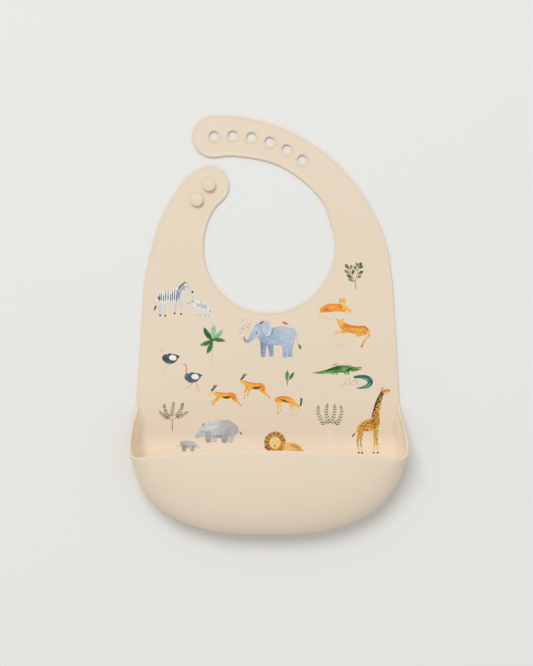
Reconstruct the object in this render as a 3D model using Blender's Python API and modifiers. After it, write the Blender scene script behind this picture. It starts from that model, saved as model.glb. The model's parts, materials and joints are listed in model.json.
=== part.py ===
"""Silicone baby bib with a crumb pocket, lying flat on its back.

Metres, +Z up out of the printed front, +Y towards the neck, +X to the viewer's right.
z = 0 is the back of the sheet, and the origin is under the middle of the whole bib.
The bib is one soft moulding. It is divided here at the places where it bends, so that
each part can turn on a living hinge, and the pocket, its lip and the studs are their own parts.
"""

import math

import bmesh
import bpy
from mathutils import Matrix, Vector

MM = 0.001

# sheet
SHEET = 2.0 * MM            # thickness of the flat moulding
JOIN = 0.3 * MM             # gap between parts that are one moulding on the real bib
BEND = 2.2 * MM             # gap at a living hinge, so that square ends clear each other

# neck opening
NECK = Vector((0.4, 59.3)) * MM
NECK_RADIUS = 50.0 * MM

# straps
LEFT_TIP = Vector((-45.2, 105.5)) * MM
RIGHT_TIP = Vector((-41.6, 143.8)) * MM
TIP_RADIUS = 16.0 * MM
HOLE_RADIUS = 3.7 * MM
HOLE_PITCH = 14.3 * MM

# where the sheet bends: a point on the crease, and the angle of the strap's run there
FOLD_Y = -30.0 * MM
ROOT_Y = 44.0 * MM
LEFT_CREASE = (Vector((-65.0, 79.0)) * MM, math.radians(63))
MIDDLE_CREASE = (Vector((56.9, 98.9)) * MM, math.radians(125))
TIP_CREASE = (Vector((-5.1, 141.2)) * MM, math.radians(165))

# pocket
HALF_WIDTH = 102.6 * MM     # widest part of the pocket wall
WALL = 1.8 * MM
SIDE_TOP = -58.0 * MM       # where the side walls start to rise from the sheet's edge
SIDE_END = -89.5 * MM       # where they reach full height
BELLY = -98.0 * MM          # centre of the rounded bottom outline
BOTTOM = -159.8 * MM
ROUNDNESS = 2.2             # exponent of the bottom outline, 2 is an ellipse
MOUTH = -95.8 * MM          # middle of the wall's top edge, under the lip
CORNER = 9.0 * MM           # radius of the mouth's corners
CROWN = 5.5 * MM            # how far the mouth's middle stands above its corners
CORNER_HEIGHT = 38.0 * MM
MOUTH_HEIGHT = 42.0 * MM
FOOT = 5.0 * MM             # how far the wall tucks in where it meets the sheet
FOOT_HEIGHT = 11.0 * MM
TOE = 1.0 * MM              # flat strip of the wall beside the sheet
LIP_RADIUS = 1.4 * MM

# closure studs
STUD_PLACES = (Vector((-44.6, 105.8)) * MM, Vector((-54.1, 94.5)) * MM)
STEM_RADIUS = 2.8 * MM
HEAD_RADIUS = 4.75 * MM
STEM_HEIGHT = 1.9 * MM
HEAD_HEIGHT = 2.2 * MM
HEAD_ROUND = 0.7 * MM

CREAM = (0.79, 0.67, 0.51, 1.0)
CREAM_DARK = (0.76, 0.63, 0.47, 1.0)


def clear_scene():
    for old in list(bpy.data.objects):
        bpy.data.objects.remove(old, do_unlink=True)


def make_collection(name):
    made = bpy.data.collections.new(name)
    bpy.context.scene.collection.children.link(made)
    return made


def silicone(name, colour, roughness=0.5):
    made = bpy.data.materials.new(name)
    made.use_nodes = True
    shader = made.node_tree.nodes["Principled BSDF"]
    shader.inputs["Base Color"].default_value = colour
    shader.inputs["Roughness"].default_value = roughness
    shader.inputs["Metallic"].default_value = 0.0
    return made


def add_part(name, mesh, colour=CREAM):
    made = bpy.data.objects.new(name, mesh)
    mesh.materials.clear()
    mesh.materials.append(silicone(name, colour))
    parts.objects.link(made)
    return made


def smooth_shade(mesh, angle=40):
    mesh.shade_smooth()
    mesh.set_sharp_from_angle(angle=math.radians(angle))


def curve_through(points, steps):
    """A soft curve through the given points (Catmull-Rom), leaving out the last point."""
    ends = [2 * points[0] - points[1]] + list(points) + [2 * points[-1] - points[-2]]
    made = []
    for a, b, c, d in zip(ends, ends[1:], ends[2:], ends[3:]):
        for i in range(steps):
            t = i / steps
            made.append(0.5 * (2 * b + (c - a) * t + (2 * a - 5 * b + 4 * c - d) * t ** 2
                               + (3 * b - a - 3 * c + d) * t ** 3))
    return made


def arc(centre, radius, start, end, steps):
    """Points on a circle from one angle to another, in degrees, both ends included."""
    turns = [math.radians(start + (end - start) * i / steps) for i in range(steps + 1)]
    return [centre + radius * Vector((math.cos(a), math.sin(a))) for a in turns]


def ease(t):
    return t * t * (3 - 2 * t)


# ---- the pocket's two guiding lines, and the wall between them ----

def side_height(y):
    """Height of the wall's top edge along the sides: it eases up from the sheet."""
    share = (SIDE_TOP - y) / (SIDE_TOP - SIDE_END)
    return CORNER_HEIGHT * ease(min(max(share, 0.0), 1.0))


def belly_point(angle):
    """Point of the bottom outline: a half super-ellipse from the right side (0) to the left (180)."""
    across = math.cos(math.radians(angle))
    down = math.sin(math.radians(angle))
    return Vector((math.copysign(abs(across) ** (2 / ROUNDNESS), across) * HALF_WIDTH,
                   BELLY - down ** (2 / ROUNDNESS) * (BELLY - BOTTOM)))


def evenly(points, count):
    """The same line, as count + 1 points spaced evenly along it."""
    lengths = [0.0]
    for a, b in zip(points, points[1:]):
        lengths.append(lengths[-1] + (b - a).length)
    made = []
    k = 0
    for i in range(count + 1):
        want = lengths[-1] * i / count
        while k < len(points) - 2 and lengths[k + 1] < want:
            k += 1
        share = (want - lengths[k]) / (lengths[k + 1] - lengths[k])
        made.append(points[k].lerp(points[k + 1], share))
    return made


def pocket_stations(side_steps=6, front_steps=34, first_side=0.34):
    """Pairs of plan points, foot line and top edge, with the top's height, from right to left."""
    right = []
    for i in range(side_steps):
        share = first_side + (1 - first_side) * i / side_steps
        y = SIDE_TOP + (SIDE_END - SIDE_TOP) * share
        right.append((Vector((HALF_WIDTH, y)), Vector((HALF_WIDTH, y)), side_height(y)))
    outline = [Vector((HALF_WIDTH, SIDE_END))]
    outline += [belly_point(a) for a in range(0, 181, 3)]
    outline.append(Vector((-HALF_WIDTH, SIDE_END)))
    low = MOUTH - CROWN
    centre = Vector((HALF_WIDTH - CORNER, low + CORNER))
    mouth = [Vector((HALF_WIDTH, SIDE_END))]
    mouth += arc(centre, CORNER, 0, -90, 8)
    half = HALF_WIDTH - CORNER
    for i in range(1, 24):
        x = half * (1 - i / 12)
        mouth.append(Vector((x, low + CROWN * (1 - (x / half) ** 2))))
    mouth += arc(Vector((-centre.x, centre.y)), CORNER, -90, -180, 8)
    mouth.append(Vector((-HALF_WIDTH, SIDE_END)))
    front = []
    for foot, top in zip(evenly(outline, front_steps), evenly(mouth, front_steps)):
        rise = (MOUTH_HEIGHT - CORNER_HEIGHT) * (1 - (top.x / HALF_WIDTH) ** 2)
        front.append((foot, top, CORNER_HEIGHT + rise))
    left = [(Vector((-f.x, f.y)), Vector((-t.x, t.y)), h) for f, t, h in reversed(right)]
    return right + front + left


def inward(stations, i):
    """Plan direction from the outline into the pocket at station i."""
    a = stations[max(i - 1, 0)][0]
    b = stations[min(i + 1, len(stations) - 1)][0]
    run = (b - a).normalized()
    return Vector((run.y, -run.x))


def wall_section(foot, top, height, into, foot_steps=4, front_steps=9):
    """One rib: a flat toe, a quarter ellipse under the belly, then a super-ellipse to the mouth."""
    foot_height = FOOT_HEIGHT * height / MOUTH_HEIGHT
    toe = foot + into * (FOOT + TOE)
    made = [Vector((toe.x, toe.y, 0))]
    for i in range(foot_steps):
        a = math.pi / 2 * (1 - i / foot_steps)
        place = foot + into * FOOT * (1 - math.cos(a))
        made.append(Vector((place.x, place.y, foot_height * (1 - math.sin(a)))))
    last = math.radians(80)
    for i in range(front_steps + 1):
        a = last * i / front_steps
        across = (1 - math.cos(a) ** 0.84) / (1 - math.cos(last) ** 0.84)
        up = math.sin(a) ** 0.84 / math.sin(last) ** 0.84
        place = foot.lerp(top, across)
        made.append(Vector((place.x, place.y, foot_height + (height - foot_height) * up)))
    return made


def pocket_ribs():
    stations = pocket_stations()
    return [wall_section(f, t, h, inward(stations, i)) for i, (f, t, h) in enumerate(stations)]


def foot_line(gap):
    """Where the wall meets the sheet, moved into the sheet by gap, from right to left."""
    stations = pocket_stations()
    return [foot + inward(stations, i) * (FOOT + TOE + gap) for i, (foot, top, height) in enumerate(stations)]


# ---- the flat sheet ----

def run_of(angle):
    return Vector((math.cos(angle), math.sin(angle)))


def flat_outline():
    """The whole flat outline, anticlockwise from the right end of the foot line."""
    side = [Vector(p) * MM for p in ((100.4, -52), (98.4, -20), (95.5, 21.5), (88.2, 64.3),
                                     (78.7, 88.7), (61.5, 113.2))]
    over = [Vector(p) * MM for p in ((42, 133), (10.7, 150.6), (-20.6, 158.4))]
    under = [Vector(p) * MM for p in ((-25.2, 128.6), (3.1, 123.1), (26, 110.1), (42, 92.6))]
    left_side = [Vector((-p.x, p.y)) for p in reversed(side)]
    made = curve_through(side + over + [RIGHT_TIP + Vector((0, TIP_RADIUS))], 4)
    made += arc(RIGHT_TIP, TIP_RADIUS, 90, 270, 14)
    made += curve_through(under + [NECK + NECK_RADIUS * run_of(math.radians(15))], 3)
    made += arc(NECK, NECK_RADIUS, 15, -215, 38)
    made += arc(LEFT_TIP, TIP_RADIUS, -36, 128, 12)
    made += curve_through(left_side, 4)
    made.append(left_side[-1])
    made += reversed(foot_line(JOIN))
    return made


def flat_sheet():
    """The outline as a filled 2D curve, turned into a mesh of flat faces."""
    curve = bpy.data.curves.new("sheet_outline", "CURVE")
    curve.dimensions = "2D"
    curve.fill_mode = "BOTH"
    points = flat_outline()
    line = curve.splines.new("POLY")
    line.points.add(len(points) - 1)
    for spot, point in zip(line.points, points):
        spot.co = (point.x, point.y, 0, 1)
    line.use_cyclic_u = True
    guide = bpy.data.objects.new("sheet_outline", curve)
    cutters.objects.link(guide)
    ready = guide.evaluated_get(bpy.context.evaluated_depsgraph_get())
    mesh = bpy.data.meshes.new_from_object(ready)
    bpy.data.objects.remove(guide, do_unlink=True)
    return mesh


def sheet_part(name, sheet, inside, cuts):
    """The piece of the sheet that holds the point inside, between cuts (point, run, side)."""
    bm = bmesh.new()
    bm.from_mesh(sheet)
    bmesh.ops.remove_doubles(bm, verts=bm.verts, dist=0.00001)
    for point, run, side in cuts:
        edge = point + run * side * BEND / 2
        whole = bm.verts[:] + bm.edges[:] + bm.faces[:]
        bmesh.ops.bisect_plane(bm, geom=whole, dist=0.0000001, clear_inner=side > 0, clear_outer=side < 0,
                               plane_co=(edge.x, edge.y, 0), plane_no=(run.x, run.y, 0))
    centre = Vector((inside.x, inside.y, 0))
    start = min(bm.faces, key=lambda f: (f.calc_center_median() - centre).length)
    island = {start}
    queue = [start]
    while queue:
        face = queue.pop()
        for edge in face.edges:
            for other in edge.link_faces:
                if other not in island:
                    island.add(other)
                    queue.append(other)
    bmesh.ops.delete(bm, geom=[f for f in bm.faces if f not in island], context="FACES")
    bmesh.ops.dissolve_limit(bm, angle_limit=0.001, verts=bm.verts, edges=bm.edges)
    for face in bm.faces:
        if face.normal.z < 0:
            face.normal_flip()
    mesh = bpy.data.meshes.new(name)
    bm.to_mesh(mesh)
    bm.free()
    made = add_part(name, mesh)
    shell = made.modifiers.new("Thickness", "SOLIDIFY")
    shell.thickness = SHEET
    shell.offset = 1.0
    return made


def set_pivot(obj, point):
    """Puts the object's origin on its hinge without moving the shape."""
    place = Vector((point.x, point.y, SHEET / 2))
    obj.data.transform(Matrix.Translation(-place))
    obj.location = place


# ---- holes and studs ----

def hole_places():
    """Six hole centres along the strap's middle line, even steps from the tip."""
    line = [Vector(p) * MM for p in ((-41.2, 143.6), (-27, 144), (-12.7, 142.8), (1, 139.3),
                                     (14.2, 133.4), (26, 125.6), (36, 117))]
    fine = curve_through(line, 60)
    made = [fine[0]]
    gone = 0.0
    for a, b in zip(fine, fine[1:]):
        gone += (b - a).length
        if gone >= HOLE_PITCH * len(made) and len(made) < 6:
            made.append(b)
    return made


def cut_hole(obj, name, place):
    bpy.ops.mesh.primitive_cylinder_add(vertices=24, radius=HOLE_RADIUS, depth=SHEET * 4,
                                        location=(place.x, place.y, SHEET / 2))
    tool = bpy.context.object
    tool.name = name
    for holder in list(tool.users_collection):
        holder.objects.unlink(tool)
    cutters.objects.link(tool)
    tool.hide_render = True
    tool.display_type = "WIRE"
    cut = obj.modifiers.new(name, "BOOLEAN")
    cut.operation = "DIFFERENCE"
    cut.solver = "EXACT"
    cut.object = tool


def make_stud(name, place):
    """Mushroom stud: a short stem and a wider round-edged head, turned about its own axis."""
    top = STEM_HEIGHT + HEAD_HEIGHT
    corner = [Vector((HEAD_RADIUS - HEAD_ROUND, top - HEAD_ROUND))]
    edge = [corner[0] + HEAD_ROUND * Vector((math.sin(a), math.cos(a)))
            for a in (math.radians(15 * i) for i in range(7))]
    profile = [Vector((0, top))] + edge
    profile += [Vector((HEAD_RADIUS, STEM_HEIGHT + 0.3 * MM)), Vector((HEAD_RADIUS - 0.4 * MM, STEM_HEIGHT))]
    profile += [Vector((STEM_RADIUS, STEM_HEIGHT)), Vector((STEM_RADIUS, 0)), Vector((0, 0))]
    mesh = bpy.data.meshes.new(name)
    lines = [(i, i + 1) for i in range(len(profile) - 1)]
    mesh.from_pydata([(p.x, 0, p.y) for p in profile], lines, [])
    made = add_part(name, mesh, CREAM_DARK)
    made.location = (place.x, place.y, SHEET + JOIN)
    turn = made.modifiers.new("Turn", "SCREW")
    turn.axis = "Z"
    turn.steps = 28
    turn.render_steps = 28
    turn.use_merge_vertices = True
    turn.merge_threshold = 0.00001
    turn.use_smooth_shade = True
    return made


# ---- pocket ----

def make_pocket_wall():
    """A loft of ribs from the foot line to the mouth, made solid towards the inside."""
    bm = bmesh.new()
    rows = [[bm.verts.new(p) for p in rib] for rib in pocket_ribs()]
    for here, there in zip(rows, rows[1:]):
        for j in range(len(here) - 1):
            bm.faces.new((here[j], here[j + 1], there[j + 1], there[j]))
    mesh = bpy.data.meshes.new("pocket_wall")
    bm.to_mesh(mesh)
    bm.free()
    smooth_shade(mesh)
    made = add_part("pocket_wall", mesh)
    shell = made.modifiers.new("Thickness", "SOLIDIFY")
    shell.thickness = WALL
    shell.offset = -1.0
    shell.use_even_offset = True
    return made


def make_pocket_lip():
    """A round bead that follows the wall's top edge, just beyond it."""
    ribs = pocket_ribs()
    curve = bpy.data.curves.new("pocket_lip", "CURVE")
    curve.dimensions = "3D"
    curve.bevel_depth = LIP_RADIUS
    curve.bevel_resolution = 2
    curve.use_fill_caps = True
    line = curve.splines.new("POLY")
    line.points.add(len(ribs) - 1)
    for i, rib in enumerate(ribs):
        ahead = (rib[-1] - rib[-2]).normalized()
        along = (ribs[min(i + 1, len(ribs) - 1)][-1] - ribs[max(i - 1, 0)][-1]).normalized()
        inside = along.cross(ahead).normalized()
        spot = rib[-1] + inside.cross(along) * (LIP_RADIUS + JOIN) + inside * WALL / 2
        line.points[i].co = (spot.x, spot.y, spot.z, 1)
    guide = bpy.data.objects.new("lip_guide", curve)
    cutters.objects.link(guide)
    ready = guide.evaluated_get(bpy.context.evaluated_depsgraph_get())
    mesh = bpy.data.meshes.new_from_object(ready)
    bpy.data.objects.remove(guide, do_unlink=True)
    bm = bmesh.new()
    bm.from_mesh(mesh)
    bmesh.ops.remove_doubles(bm, verts=bm.verts, dist=0.00001)
    bm.to_mesh(mesh)
    bm.free()
    smooth_shade(mesh)
    return add_part("pocket_lip", mesh, CREAM_DARK)


def build():
    sheet = flat_sheet()
    fold = (Vector((0, FOLD_Y)), Vector((0, 1)))
    root = (Vector((0, ROOT_Y)), Vector((0, 1)))
    left_crease = (LEFT_CREASE[0], run_of(LEFT_CREASE[1]))
    middle_crease = (MIDDLE_CREASE[0], run_of(MIDDLE_CREASE[1]))
    tip_crease = (TIP_CREASE[0], run_of(TIP_CREASE[1]))

    sheet_part("chest_panel", sheet, Vector((0, -90 * MM)), [fold + (-1,)])
    shoulder = sheet_part("shoulder_panel", sheet, Vector((0, -10 * MM)), [fold + (1,), root + (-1,)])
    left = sheet_part("left_strap", sheet, Vector((-70, 60)) * MM, [root + (1,), left_crease + (-1,)])
    left_tip = sheet_part("left_strap_tip", sheet, LEFT_TIP, [root + (1,), left_crease + (1,)])
    right = sheet_part("right_strap", sheet, Vector((72, 65)) * MM, [root + (1,), middle_crease + (-1,)])
    middle = sheet_part("right_strap_middle", sheet, Vector((35, 122)) * MM,
                        [root + (1,), middle_crease + (1,), tip_crease + (-1,)])
    right_tip = sheet_part("right_strap_tip", sheet, RIGHT_TIP,
                           [root + (1,), middle_crease + (1,), tip_crease + (1,)])

    set_pivot(shoulder, fold[0])
    set_pivot(left, Vector((-70 * MM, ROOT_Y)))
    set_pivot(right, Vector((70 * MM, ROOT_Y)))
    set_pivot(left_tip, left_crease[0])
    set_pivot(middle, middle_crease[0])
    set_pivot(right_tip, tip_crease[0])

    for i, place in enumerate(hole_places()):
        holder = right_tip if i < 3 else middle
        cut_hole(holder, f"hole_cutter_{i + 1}", place)

    for name, place in zip(("stud_upper", "stud_lower"), STUD_PLACES):
        make_stud(name, place)
    make_pocket_wall()
    make_pocket_lip()
    bpy.data.meshes.remove(sheet)


clear_scene()
parts = make_collection("silicone_bib")
cutters = make_collection("cutters")
build()
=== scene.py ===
import json
import math
import bmesh
import bpy
import numpy as np
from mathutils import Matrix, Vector


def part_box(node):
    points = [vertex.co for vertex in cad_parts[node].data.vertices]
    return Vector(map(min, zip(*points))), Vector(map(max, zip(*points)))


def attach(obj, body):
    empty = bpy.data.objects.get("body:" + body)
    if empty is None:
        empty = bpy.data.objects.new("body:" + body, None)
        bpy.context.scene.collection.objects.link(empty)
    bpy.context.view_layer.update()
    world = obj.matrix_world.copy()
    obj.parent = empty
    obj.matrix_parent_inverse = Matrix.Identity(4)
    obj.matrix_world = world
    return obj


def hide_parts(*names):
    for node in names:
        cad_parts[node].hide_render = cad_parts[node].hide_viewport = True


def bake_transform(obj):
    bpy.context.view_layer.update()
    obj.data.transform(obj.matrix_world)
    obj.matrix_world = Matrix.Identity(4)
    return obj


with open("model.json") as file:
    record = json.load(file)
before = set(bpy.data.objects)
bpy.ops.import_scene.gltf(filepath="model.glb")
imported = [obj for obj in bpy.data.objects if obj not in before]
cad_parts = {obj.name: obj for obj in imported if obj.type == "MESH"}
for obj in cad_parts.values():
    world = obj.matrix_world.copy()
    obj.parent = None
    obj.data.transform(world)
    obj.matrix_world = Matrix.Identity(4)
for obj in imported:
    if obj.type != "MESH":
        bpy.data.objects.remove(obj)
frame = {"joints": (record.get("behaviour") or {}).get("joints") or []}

mm = 0.001
sharpAngle = math.radians(40)
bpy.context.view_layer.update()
joints = {joint["name"]: joint for joint in frame["joints"]}


# shader maths

class Value:
    # a node socket that can be written in a sum: value * 2 + 1 adds the Math nodes
    def __init__(self, tree, socket):
        self.tree = tree
        self.socket = socket

    def math(self, operation, other=0.0, flip=False):
        node = self.tree.nodes.new("ShaderNodeMath")
        node.operation = operation
        first, second = (other, self) if flip else (self, other)
        for inlet, given in zip(node.inputs, (first, second)):
            if isinstance(given, Value):
                self.tree.links.new(given.socket, inlet)
            else:
                inlet.default_value = given
        return Value(self.tree, node.outputs[0])

    def __add__(self, other): return self.math("ADD", other)
    def __radd__(self, other): return self.math("ADD", other, True)
    def __sub__(self, other): return self.math("SUBTRACT", other)
    def __rsub__(self, other): return self.math("SUBTRACT", other, True)
    def __mul__(self, other): return self.math("MULTIPLY", other)
    def __rmul__(self, other): return self.math("MULTIPLY", other, True)
    def __pow__(self, other): return self.math("POWER", other)
    def clamp(self): return self.math("MAXIMUM", 0.0).math("MINIMUM", 1.0)


class Finish:
    # one Principled material: node() adds any node, with its settings first and its inputs after, which
    # go by name or, as i0, i6 or i7, by number
    def __init__(self, name, **uniform):
        self.material = bpy.data.materials.new(name)
        self.material.use_nodes = True
        self.tree = self.material.node_tree
        self.shader = self.tree.nodes["Principled BSDF"]
        for socket, value in uniform.items():
            self.shader.inputs[socket.replace("_", " ")].default_value = value

    def node(self, kind, settings=None, output=0, **inputs):
        node = self.tree.nodes.new("ShaderNode" + kind)
        for name, value in (settings or {}).items():
            setattr(node, name, value)
        for name, value in inputs.items():
            inlet = node.inputs[int(name[1:]) if name[0] == "i" and name[1:].isdigit() else name]
            if isinstance(value, Value):
                self.tree.links.new(value.socket, inlet)
            else:
                inlet.default_value = value
        return Value(self.tree, node.outputs[output])

    def noise(self, scale, detail, rough=0.5):
        # soft noise in the piece's own coordinates, in waves per metre
        place = self.node("TexCoord", output=3)
        return self.node("TexNoise", Vector=place, Scale=scale, Detail=detail, Roughness=rough)

    def mix(self, share, first, second, blend="MIX"):
        return self.node("Mix", {"data_type": "RGBA", "blend_type": blend}, output=2,
                         i0=share, i6=first, i7=second)

    def feed(self, socket, value):
        self.tree.links.new(value.socket, self.shader.inputs[socket])

    def bump(self, height, strength, distance):
        self.feed("Normal", self.node("Bump", Height=height, Strength=strength, Distance=distance))


# lines and meshes

def through(points, steps=16):
    # Catmull-Rom curve through the points: each span is a cubic of its four nearest points
    p = np.asarray(points, float)
    p = np.vstack([2 * p[0] - p[1], p, 2 * p[-1] - p[-2]])
    t = np.linspace(0, 1, steps, endpoint=False)[None, :, None]
    a, b, c, d = (p[i:len(p) - 3 + i, None, :] for i in range(4))
    spans = 0.5 * (2 * b + (c - a) * t + (2 * a - 5 * b + 4 * c - d) * t ** 2
                   + (3 * b - a - 3 * c + d) * t ** 3)
    return np.vstack([spans.reshape(-1, p.shape[1]), p[-2]])


def arcPoints(centre, radius, start, end, steps=48):
    # centre + radius * (cos a, sin a), with a running evenly from start to end in degrees
    a = np.radians(np.linspace(start, end, steps))
    return np.asarray(centre) + radius * np.column_stack([np.cos(a), np.sin(a)])


def lengthsOf(line):
    # length along the line at each of its points: the running sum of its straight pieces
    return np.concatenate([[0], np.cumsum(np.linalg.norm(np.diff(line, axis=0), axis=1))])


def alongLine(line, wanted):
    # points of the line at the wanted lengths from its start
    have = lengthsOf(line)
    return np.column_stack([np.interp(wanted, have, line[:, i]) for i in range(line.shape[1])])


def ease(t):
    # 3 t squared - 2 t cubed between 0 and 1, and flat outside
    t = np.clip(t, 0, 1)
    return t * t * (3 - 2 * t)


def distanceTo(points, line):
    # shortest distance from each point to the line, taken to its nearest straight piece
    flat = points.reshape(-1, points.shape[-1])
    a, b = line[:-1], line[1:]
    run = b - a
    size = np.maximum((run ** 2).sum(1), 1e-18)
    found = []
    for part in np.array_split(flat, max(1, len(flat) // 600)):
        gap = part[:, None, :] - a[None]
        share = np.clip((gap * run[None]).sum(2) / size[None], 0, 1)
        found.append(np.sqrt(((gap - share[..., None] * run[None]) ** 2).sum(2).min(1)))
    return np.concatenate(found).reshape(points.shape[:-1])


def gridFaces(rows, columns, first=0, flipped=False):
    # quads of a rows x columns grid of points that is numbered row by row
    i, j = np.meshgrid(np.arange(rows - 1), np.arange(columns - 1), indexing="ij")
    a = first + i * columns + j
    quads = np.stack([a, a + 1, a + columns + 1, a + columns], -1).reshape(-1, 4)
    return quads[:, ::-1] if flipped else quads


def addMesh(name, points, faces, material, outward=False, extra=None):
    # extra holds one value for each point: a colour or a vector under its attribute's name
    mesh = bpy.data.meshes.new(name)
    mesh.from_pydata(np.asarray(points, float).reshape(-1, 3).tolist(), [],
                     [list(map(int, f)) for f in faces])
    for label, values in (extra or {}).items():
        kind, field = ("FLOAT_COLOR", "color") if values.shape[1] == 4 else ("FLOAT_VECTOR", "vector")
        mesh.attributes.new(label, kind, "POINT").data.foreach_set(field, values.astype(np.float32).ravel())
    bm = bmesh.new()
    bm.from_mesh(mesh)
    bmesh.ops.remove_doubles(bm, verts=bm.verts, dist=2e-7)
    bmesh.ops.dissolve_degenerate(bm, edges=bm.edges, dist=1e-7)
    if outward:
        bmesh.ops.recalc_face_normals(bm, faces=bm.faces)
    bm.to_mesh(mesh)
    bm.free()
    mesh.shade_smooth()
    mesh.set_sharp_from_angle(angle=sharpAngle)
    piece = bpy.data.objects.new(name, mesh)
    bpy.context.scene.collection.objects.link(piece)
    mesh.materials.append(material)
    return piece


def closedGrid(top, bottom):
    # two grids of points made into one closed skin, with strips that join them all the way round
    rows, columns = top.shape[:2]
    count = rows * columns
    index = np.arange(count).reshape(rows, columns)
    rim = np.concatenate([index[0, :-1], index[:-1, -1], index[-1, :0:-1], index[:0:-1, 0]])
    nextRim = np.roll(rim, -1)
    strips = np.stack([rim, rim + count, nextRim + count, nextRim], -1)
    faces = np.vstack([gridFaces(rows, columns), gridFaces(rows, columns, count, True), strips])
    return np.vstack([top.reshape(-1, 3), bottom.reshape(-1, 3)]), faces


def solidSkin(name, middle, normals, above, below, material, extra=None):
    # a closed skin: middle + normal * above on one side and middle - normal * below on the other
    points, faces = closedGrid(middle + normals * above[..., None], middle - normals * below[..., None])
    return addMesh(name, points, faces, material, outward=True, extra=extra)


def turned(name, profile, centre, material, steps=64):
    # a profile of (radius, height) carried round the upright line through centre
    profile = np.asarray(profile, float)
    a = np.linspace(0, 2 * math.pi, steps + 1)
    ring = np.stack([np.cos(a), np.sin(a)], -1)[:, None, :] * profile[None, :, :1]
    height = np.broadcast_to(profile[None, :, 1:], ring[..., :1].shape)
    points = np.concatenate([ring + np.asarray(centre)[:2], height], -1)
    return addMesh(name, points, gridFaces(steps + 1, len(profile)), material, outward=True)


def joined(name, pieces):
    # several pieces made into one, in the first one's material
    bm = bmesh.new()
    for piece in pieces:
        bm.from_mesh(piece.data)
    mesh = bpy.data.meshes.new(name)
    bm.to_mesh(mesh)
    bm.free()
    mesh.materials.append(pieces[0].data.materials[0])
    for piece in pieces:
        bpy.data.objects.remove(piece)
    made = bpy.data.objects.new(name, mesh)
    bpy.context.scene.collection.objects.link(made)
    return made


# floor, light and camera

# metres: the camera stands straight above aim and takes in a length of floor given by seen
studio = dict(floor=(0.80, 0.80, 0.78), floorHalf=2.5, grain=60.0, grainShare=0.05, grainDark=0.97,
              height=1.2, seen=0.5086, aim=(-1.1 * mm, -6.7 * mm), sensor=24.0,
              sky=0.63, skyColour=(1.0, 1.0, 0.99, 1), key=(-0.8, 2.2, 4.0), keySize=2.2, keyPower=93.0)


def makeFloor():
    finish = Finish("studioFloor", Roughness=0.85)
    share = finish.noise(studio["grain"], 4.0) * studio["grainShare"]
    dark = [studio["grainDark"] * c for c in studio["floor"]]
    finish.feed("Base Color", finish.mix(share, (*studio["floor"], 1), (*dark, 1)))
    half = studio["floorHalf"]
    corners = [(-half, -half, 0), (half, -half, 0), (half, half, 0), (-half, half, 0)]
    floor = addMesh("studio_floor", corners, [(0, 1, 2, 3)], finish.material)


def makeLight(name, place, power, size):
    # a round area light turned towards the origin
    lamp = bpy.data.lights.new(name, "AREA")
    lamp.shape = "DISK"
    lamp.size = size
    lamp.energy = power
    holder = bpy.data.objects.new(name, lamp)
    bpy.context.scene.collection.objects.link(holder)
    holder.location = place
    holder.rotation_euler = (-Vector(place)).to_track_quat("-Z", "Y").to_euler()


def makeStudio():
    makeFloor()
    makeLight("window_light", studio["key"], studio["keyPower"], studio["keySize"])
    world = bpy.data.worlds.new("studioWorld")
    world.use_nodes = True
    sky = world.node_tree.nodes["Background"]
    sky.inputs["Color"].default_value = studio["skyColour"]
    sky.inputs["Strength"].default_value = studio["sky"]
    bpy.context.scene.world = world
    camera = bpy.data.cameras.new("camera")
    camera.sensor_fit = "VERTICAL"
    camera.sensor_height = studio["sensor"]
    camera.lens = camera.sensor_height * studio["height"] / studio["seen"]
    holder = bpy.data.objects.new("camera", camera)
    bpy.context.scene.collection.objects.link(holder)
    holder.location = (*studio["aim"], studio["height"])
    bpy.context.scene.camera = holder
    bpy.context.scene.view_settings.view_transform = "Standard"


makeStudio()
print("studio ready")


# silicone

siliconeLook = dict(light=(0.800, 0.678, 0.536), warm=(0.784, 0.652, 0.504), clouds=14.0, cloudGain=1.6,
                    cloudFrom=0.3, grain=900.0, grainShare=0.6, pores=2600.0, roughness=0.46, roughOver=0.12,
                    bump=0.22, bumpDepth=0.1 * mm)


def makeSilicone(name, tint=1.0, paintedShading=None):
    # two close creams in soft clouds, over fine grain and pores; the last argument names a colour attribute
    # of painted light and shade that multiplies them: painted light where light would come through the wall
    # and bounce inside, painted shade low on the outside
    look = siliconeLook
    finish = Finish(name, Roughness=0.52, IOR=1.41, Sheen_Weight=0.12, Sheen_Roughness=0.45)
    cloud = finish.noise(look["clouds"], 3.0)
    grain = finish.noise(look["grain"], 2.0)
    light, warm = ((*(tint * c for c in look[shade]), 1) for shade in ("light", "warm"))
    base = finish.mix((cloud * look["cloudGain"] - look["cloudFrom"]).clamp(), light, warm)
    if paintedShading:
        # painted light and shade: the base colour multiplied by the named colour attribute
        base = finish.mix(1.0, base, finish.node("Attribute", {"attribute_name": paintedShading}), "MULTIPLY")
    finish.feed("Base Color", base)
    finish.feed("Roughness", look["roughness"] + grain * look["roughOver"])
    pores = finish.noise(look["pores"], 1.0)
    surface = grain * look["grainShare"] + pores * (1 - look["grainShare"])
    finish.bump(surface, look["bump"], look["bumpDepth"])
    return finish.material


silicone = makeSilicone("softSilicone")
siliconeRim = makeSilicone("softSiliconeRim", 0.985)
# the pocket's silicone, with painted light inside it and painted shade low on its outside
siliconePaintedShading = makeSilicone("softSiliconePaintedShading", paintedShading="paintedShading")


# the flat outline, in millimetres

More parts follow.
